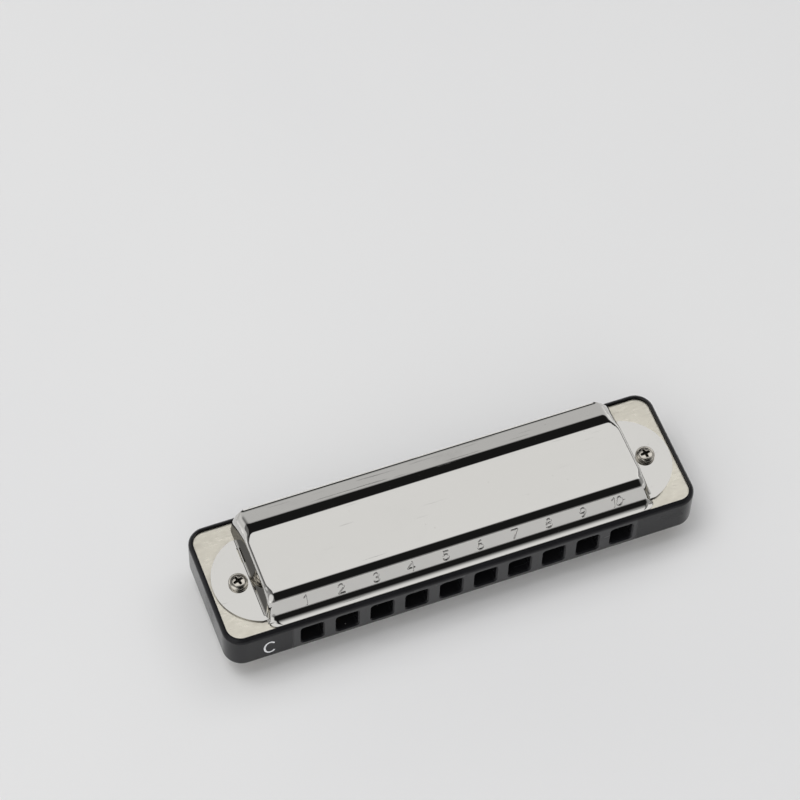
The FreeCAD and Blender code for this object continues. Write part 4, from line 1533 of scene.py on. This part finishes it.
@dataclass
class Fasteners:
    """Cover screws with their nuts, and the small screws of the reed plates."""

    nut_bore: float = 1.02
    nut_flats: float = 2.0
    nut_face: float = 0.97
    nut_mouth: float = 0.15
    nut_inset: float = 2.31
    nut_around: int = 72
    cover_shank: float = 0.99
    cover_seat: float = 1.5
    plate_shank: float = 0.74

    def build(self, chrome: bpy.types.Material, steel: bpy.types.Material) -> None:
        """Make every fastener.

        Args:
            chrome: finish of the cover screws and nuts.
            steel: finish of the plate screws.
        """
        self.cover_screws(chrome)
        self.nuts(chrome)
        self.plate_screws("upper_plate_screws", False, steel)
        self.plate_screws("lower_plate_screws", True, steel)

    def cover_screws(self, chrome: bpy.types.Material) -> None:
        """Two pan-head screws with a cross recess.

        Args:
            chrome: their finish.
        """
        low, high = node_box("cover_screws")
        head = ScrewHead(radius=2.0, height=1.25, edge=0.75, recess=Recess.CROSS, reach=1.08,
                         arm=0.58, depth=0.95, fullness=2.8)
        y = (low[1] + high[1]) / 2
        seat = high[2] - self.cover_seat
        for name, x, turn in (("left_cover_screw", low[0] + head.radius, 0.32),
                              ("right_cover_screw", high[0] - head.radius, 0.12)):
            points, faces = head.points(x, y, seat, low[2], self.cover_shank, turn)
            piece = make_mesh(name, points, faces, 60.0)
            # Recess depths, which drive the painted shade in the screws' finish.
            shares = piece.data.attributes.new(RECESS_SHADE, "FLOAT", "POINT")
            shares.data.foreach_set("value", head.recess_shade(turn))
            finish_piece(piece, chrome, "screw_chrome", "cover_screws")

    def nuts(self, chrome: bpy.types.Material) -> None:
        """Two hexagon nuts with turned corners.

        Args:
            chrome: their finish.
        """
        low, high = node_box("cover_nuts")
        y = (low[1] + high[1]) / 2
        angles = np.linspace(0, 2 * math.pi, self.nut_around, endpoint=False)
        sector = (angles + math.pi / 6) % (math.pi / 3) - math.pi / 6
        hexagon = self.nut_flats / np.cos(sector)
        round_face = np.full_like(angles, self.nut_flats * self.nut_face)
        fall = (hexagon - round_face) * math.tan(math.radians(30))
        bore = np.full_like(angles, self.nut_bore)
        mouth = bore + self.nut_mouth
        tall, level = high[2] - low[2], np.zeros_like(angles)
        half = [(bore, level + self.nut_mouth), (mouth, level), (round_face, level),
                (hexagon, fall)]
        rings = half + [(radius, tall - lift) for radius, lift in reversed(half)]
        for name, x in (("left_cover_nut", low[0] + self.nut_inset),
                        ("right_cover_nut", high[0] - self.nut_inset)):
            points = [np.stack([x + radius * np.cos(angles), y + radius * np.sin(angles),
                                low[2] + lift], axis=1) for radius, lift in rings]
            faces = ring_faces(len(rings), len(angles), closed=True)
            piece = make_mesh(name, np.concatenate(points), faces, 30.0)
            finish_piece(piece, chrome, "screw_chrome", "cover_nuts")

    def plate_screws(self, node: str, lower: bool, steel: bpy.types.Material) -> None:
        """Five slotted screws of one reed plate.

        Args:
            node: CAD node that they stand for.
            lower: true under the comb, where they point up.
            steel: their finish.
        """
        low, high = node_box(node)
        head = ScrewHead(radius=1.1, height=0.6, edge=0.3, recess=Recess.SLOT, reach=1.1,
                         arm=0.34, depth=0.28, around=48, rings=14)
        rear, front = high[1] - head.radius, low[1] + head.radius
        middle = (low[0] + high[0]) / 2
        spread = (high[0] - low[0]) / 2 - head.radius
        seat = high[2] - low[2] - head.height
        places = [(middle - spread, rear), (middle, rear), (middle + spread, rear),
                  (middle - spread / 2, front), (middle + spread / 2, front)]
        clouds, faces = [], []
        for number, (x, y) in enumerate(places):
            turn = 0.7 * number + 0.3
            points, around = head.points(x, y, seat, 0.0, self.plate_shank, turn)
            start = sum(len(cloud) for cloud in clouds)
            faces.extend(tuple(start + corner for corner in face) for face in around)
            clouds.append(points)
        cloud = np.concatenate(clouds)
        cloud[:, 2] = high[2] - cloud[:, 2] if lower else low[2] + cloud[:, 2]
        piece = make_mesh(node + "_set", cloud, faces, 50.0)
        if lower:
            piece.data.flip_normals()
        finish_piece(piece, steel, "screw_steel", node)


# ---------------------------------------------------------------- studio


@dataclass(frozen=True)
class Fade:
    """A soft edge of something pale: where it begins, where it is full, and how bright."""

    begin: float
    full: float
    strength: float = 1.0

    def mask(self, nodes: Nodes, value: object) -> bpy.types.NodeSocket:
        """The edge as a mask.

        Args:
            nodes: the world's nodes.
            value: the direction's coordinate that the edge crosses.

        Returns:
            The mask's socket.
        """
        return nodes.ramp(value, self.begin, self.full, 0.0, self.strength)


@dataclass(frozen=True)
class SoftLight:
    """A square lamp that faces the middle of the floor."""

    name: str
    place: tuple[float, float, float]
    size: float
    power: float


@dataclass
class Studio:
    """Pale floor, soft light and the camera."""

    floor_half: float = 6.0
    back: tuple[float, float, float] = (-0.211464, -0.504059, 0.837376)
    roll: float = 2.48
    distance: float = 637.55
    aside: float = 8.804
    below: float = -23.428
    lens: float = 140.2
    lights: tuple[SoftLight, ...] = (SoftLight("overhead", (0.0, 0.0, 1.3), 2.4, 8.0),
                                     SoftLight("key", (-0.36, 0.12, 1.2), 0.6, 4.7),
                                     SoftLight("front_fill", (-0.3, -1.6, 0.9), 1.2, 4.0))
    card_along: tuple[Fade, Fade] = (Fade(-0.12, 0.10), Fade(0.74, 0.67))
    card_across: tuple[Fade, Fade] = (Fade(-0.34, -0.24), Fade(1.1, 1.0))
    card_strength: float = 0.94
    front_wall: tuple[Fade, Fade] = (Fade(0.28, 0.0, 0.38), Fade(-0.2, -0.5))
    rear_wall: tuple[Fade, Fade] = (Fade(0.40, 0.34), Fade(0.3, 0.6, 0.62))
    low_end_walls: tuple[Fade, Fade] = (Fade(0.2, 0.02, 0.35), Fade(0.5, 0.9))
    end_walls: Fade = Fade(0.42, 0.8, 0.34)
    left_card: Fade = Fade(0.78, 0.93, 0.9)
    left_card_toward: tuple[float, float, float] = (-0.773, -0.361, 0.515)
    left_haze: tuple[Fade, Fade] = (Fade(-0.3, -0.5, 0.16), Fade(0.1, 0.4))
    darkness: float = 0.012

    def build(self) -> None:
        """Make floor, lights, surroundings and camera."""
        self.make_floor()
        self.make_lights()
        self.make_world()
        self.make_camera()

    def make_floor(self) -> None:
        """A plain pale floor."""
        half = self.floor_half
        mesh = bpy.data.meshes.new("floor")
        mesh.from_pydata([(-half, -half, 0), (half, -half, 0), (half, half, 0),
                          (-half, half, 0)], [], [(0, 1, 2, 3)])
        floor = bpy.data.objects.new("floor", mesh)
        bpy.context.collection.objects.link(floor)
        material, nodes, shader = new_material("pale_floor")
        place = nodes.add("TexCoord").outputs["Object"]
        soft = nodes.add("TexNoise", {"Vector": place, "Scale": 6.0, "Detail": 3.0})
        tone = nodes.mix(nodes.ramp(soft.outputs[0], 0.3, 0.7), rgba((0.80, 0.80, 0.80)),
                         rgba((0.78, 0.78, 0.785)))
        nodes.feed(shader.inputs["Base Color"], tone)
        nodes.feed(shader.inputs["Roughness"], 0.9)
        shader.inputs["Specular IOR Level"].default_value = 0.1
        mesh.materials.append(material)

    def make_lights(self) -> None:
        """Broad soft lights that are not mirrored in the polished covers."""
        for soft in self.lights:
            light = bpy.data.lights.new(soft.name, "AREA")
            light.shape = "SQUARE"
            light.size = soft.size
            light.energy = soft.power
            lamp = bpy.data.objects.new(soft.name, light)
            lamp.location = soft.place
            lamp.rotation_mode = "QUATERNION"
            lamp.rotation_quaternion = Vector(soft.place).to_track_quat("Z", "Y")
            lamp.visible_glossy = False
            bpy.context.collection.objects.link(lamp)

    def make_world(self) -> None:
        """Surroundings that the polished metal mirrors.

        A white card hangs overhead and a little behind, and a second one on the left. Pale
        walls stand in front, behind and at both ends, the lower left is faintly hazy, and
        the rest is dark.
        """
        world = bpy.data.worlds.new("studio")
        bpy.context.scene.world = world
        world.use_nodes = True
        nodes = Nodes(world.node_tree)
        direction = nodes.add("TexCoord").outputs["Generated"]
        split = nodes.add("SeparateXYZ", {0: direction})
        x, y, z = (split.outputs[key] for key in "XYZ")
        up = nodes.math("MAXIMUM", z, 0.001)
        rearward = nodes.math("DIVIDE", y, up)
        sideways = nodes.math("DIVIDE", x, up)
        outward = nodes.math("ABSOLUTE", x)
        toward = nodes.add("VectorMath", {0: direction, 1: self.left_card_toward},
                           operation="DOT_PRODUCT").outputs["Value"]

        def both(fades: tuple[Fade, Fade], first: object,
                 second: object) -> bpy.types.NodeSocket:
            """Two edges as one mask.

            Args:
                fades: the edges.
                first: what the first edge crosses.
                second: what the second edge crosses.

            Returns:
                The mask's socket.
            """
            return nodes.product(fades[0].mask(nodes, first), fades[1].mask(nodes, second))

        card = nodes.product(both(self.card_along, rearward, rearward),
                             both(self.card_across, sideways, sideways))
        walls = nodes.math("ADD", nodes.math("ADD", both(self.front_wall, z, y),
                                             both(self.rear_wall, z, y)),
                           both(self.low_end_walls, z, outward))
        pale = nodes.math("MAXIMUM", nodes.math("MAXIMUM", self.left_card.mask(nodes, toward),
                                                both(self.left_haze, sideways, z)),
                          self.end_walls.mask(nodes, outward))
        glow = nodes.math("ADD", nodes.math("MULTIPLY", card, self.card_strength),
                          nodes.math("ADD", walls, pale))
        light = nodes.math("ADD", glow, self.darkness)
        shader = world.node_tree.nodes["Background"]
        nodes.feed(shader.inputs["Color"], (1.0, 1.0, 1.0, 1.0))
        nodes.feed(shader.inputs["Strength"], light)

    def make_camera(self) -> None:
        """The camera, high in front of the mouth side and a little to its left."""
        back = Vector(self.back).normalized()
        level = Vector((-back.y, back.x, 0.0)).normalized()
        over = back.cross(level)
        turn = math.radians(self.roll)
        right = math.cos(turn) * level + math.sin(turn) * over
        up = -math.sin(turn) * level + math.cos(turn) * over
        data = bpy.data.cameras.new("camera")
        data.lens = self.lens
        data.sensor_width = 36.0
        data.clip_start = 0.01
        camera = bpy.data.objects.new("camera", data)
        _, high = node_box("comb")
        place = -self.aside * right - self.below * up + self.distance * back
        place += Vector((0, 0, high[2]))
        matrix = Matrix((right, up, back)).transposed().to_4x4()
        matrix.translation = place * MM
        camera.matrix_world = matrix
        bpy.context.collection.objects.link(camera)
        bpy.context.scene.camera = camera
        bpy.context.scene.view_settings.view_transform = "Standard"


# ---------------------------------------------------------------- whole scene


def main() -> None:
    """Build every piece in order."""
    logging.basicConfig(level=logging.INFO, format="%(message)s")
    EFFECTS.build()
    chrome = CHROME.material()
    Comb().build(COMB_PLASTIC.material(), KEY_INK.material())
    ReedPlates().build(PLATE_METAL.material())
    brass = REED_BRASS.material()
    rivet_brass = RIVET_BRASS.material()
    for plate in Plate:
        for index in range(NOTES):
            Reed(plate, index).build(brass)
        Rivets(plate).build(rivet_brass)
    Cover("upper_cover", turned=False, numbered=True).build(chrome)
    Cover("lower_cover", turned=True, numbered=False).build(chrome)
    Fasteners().build(SCREW_CHROME.material(), SCREW_STEEL.material())
    Studio().build()


if __name__ == "__main__":
    main()
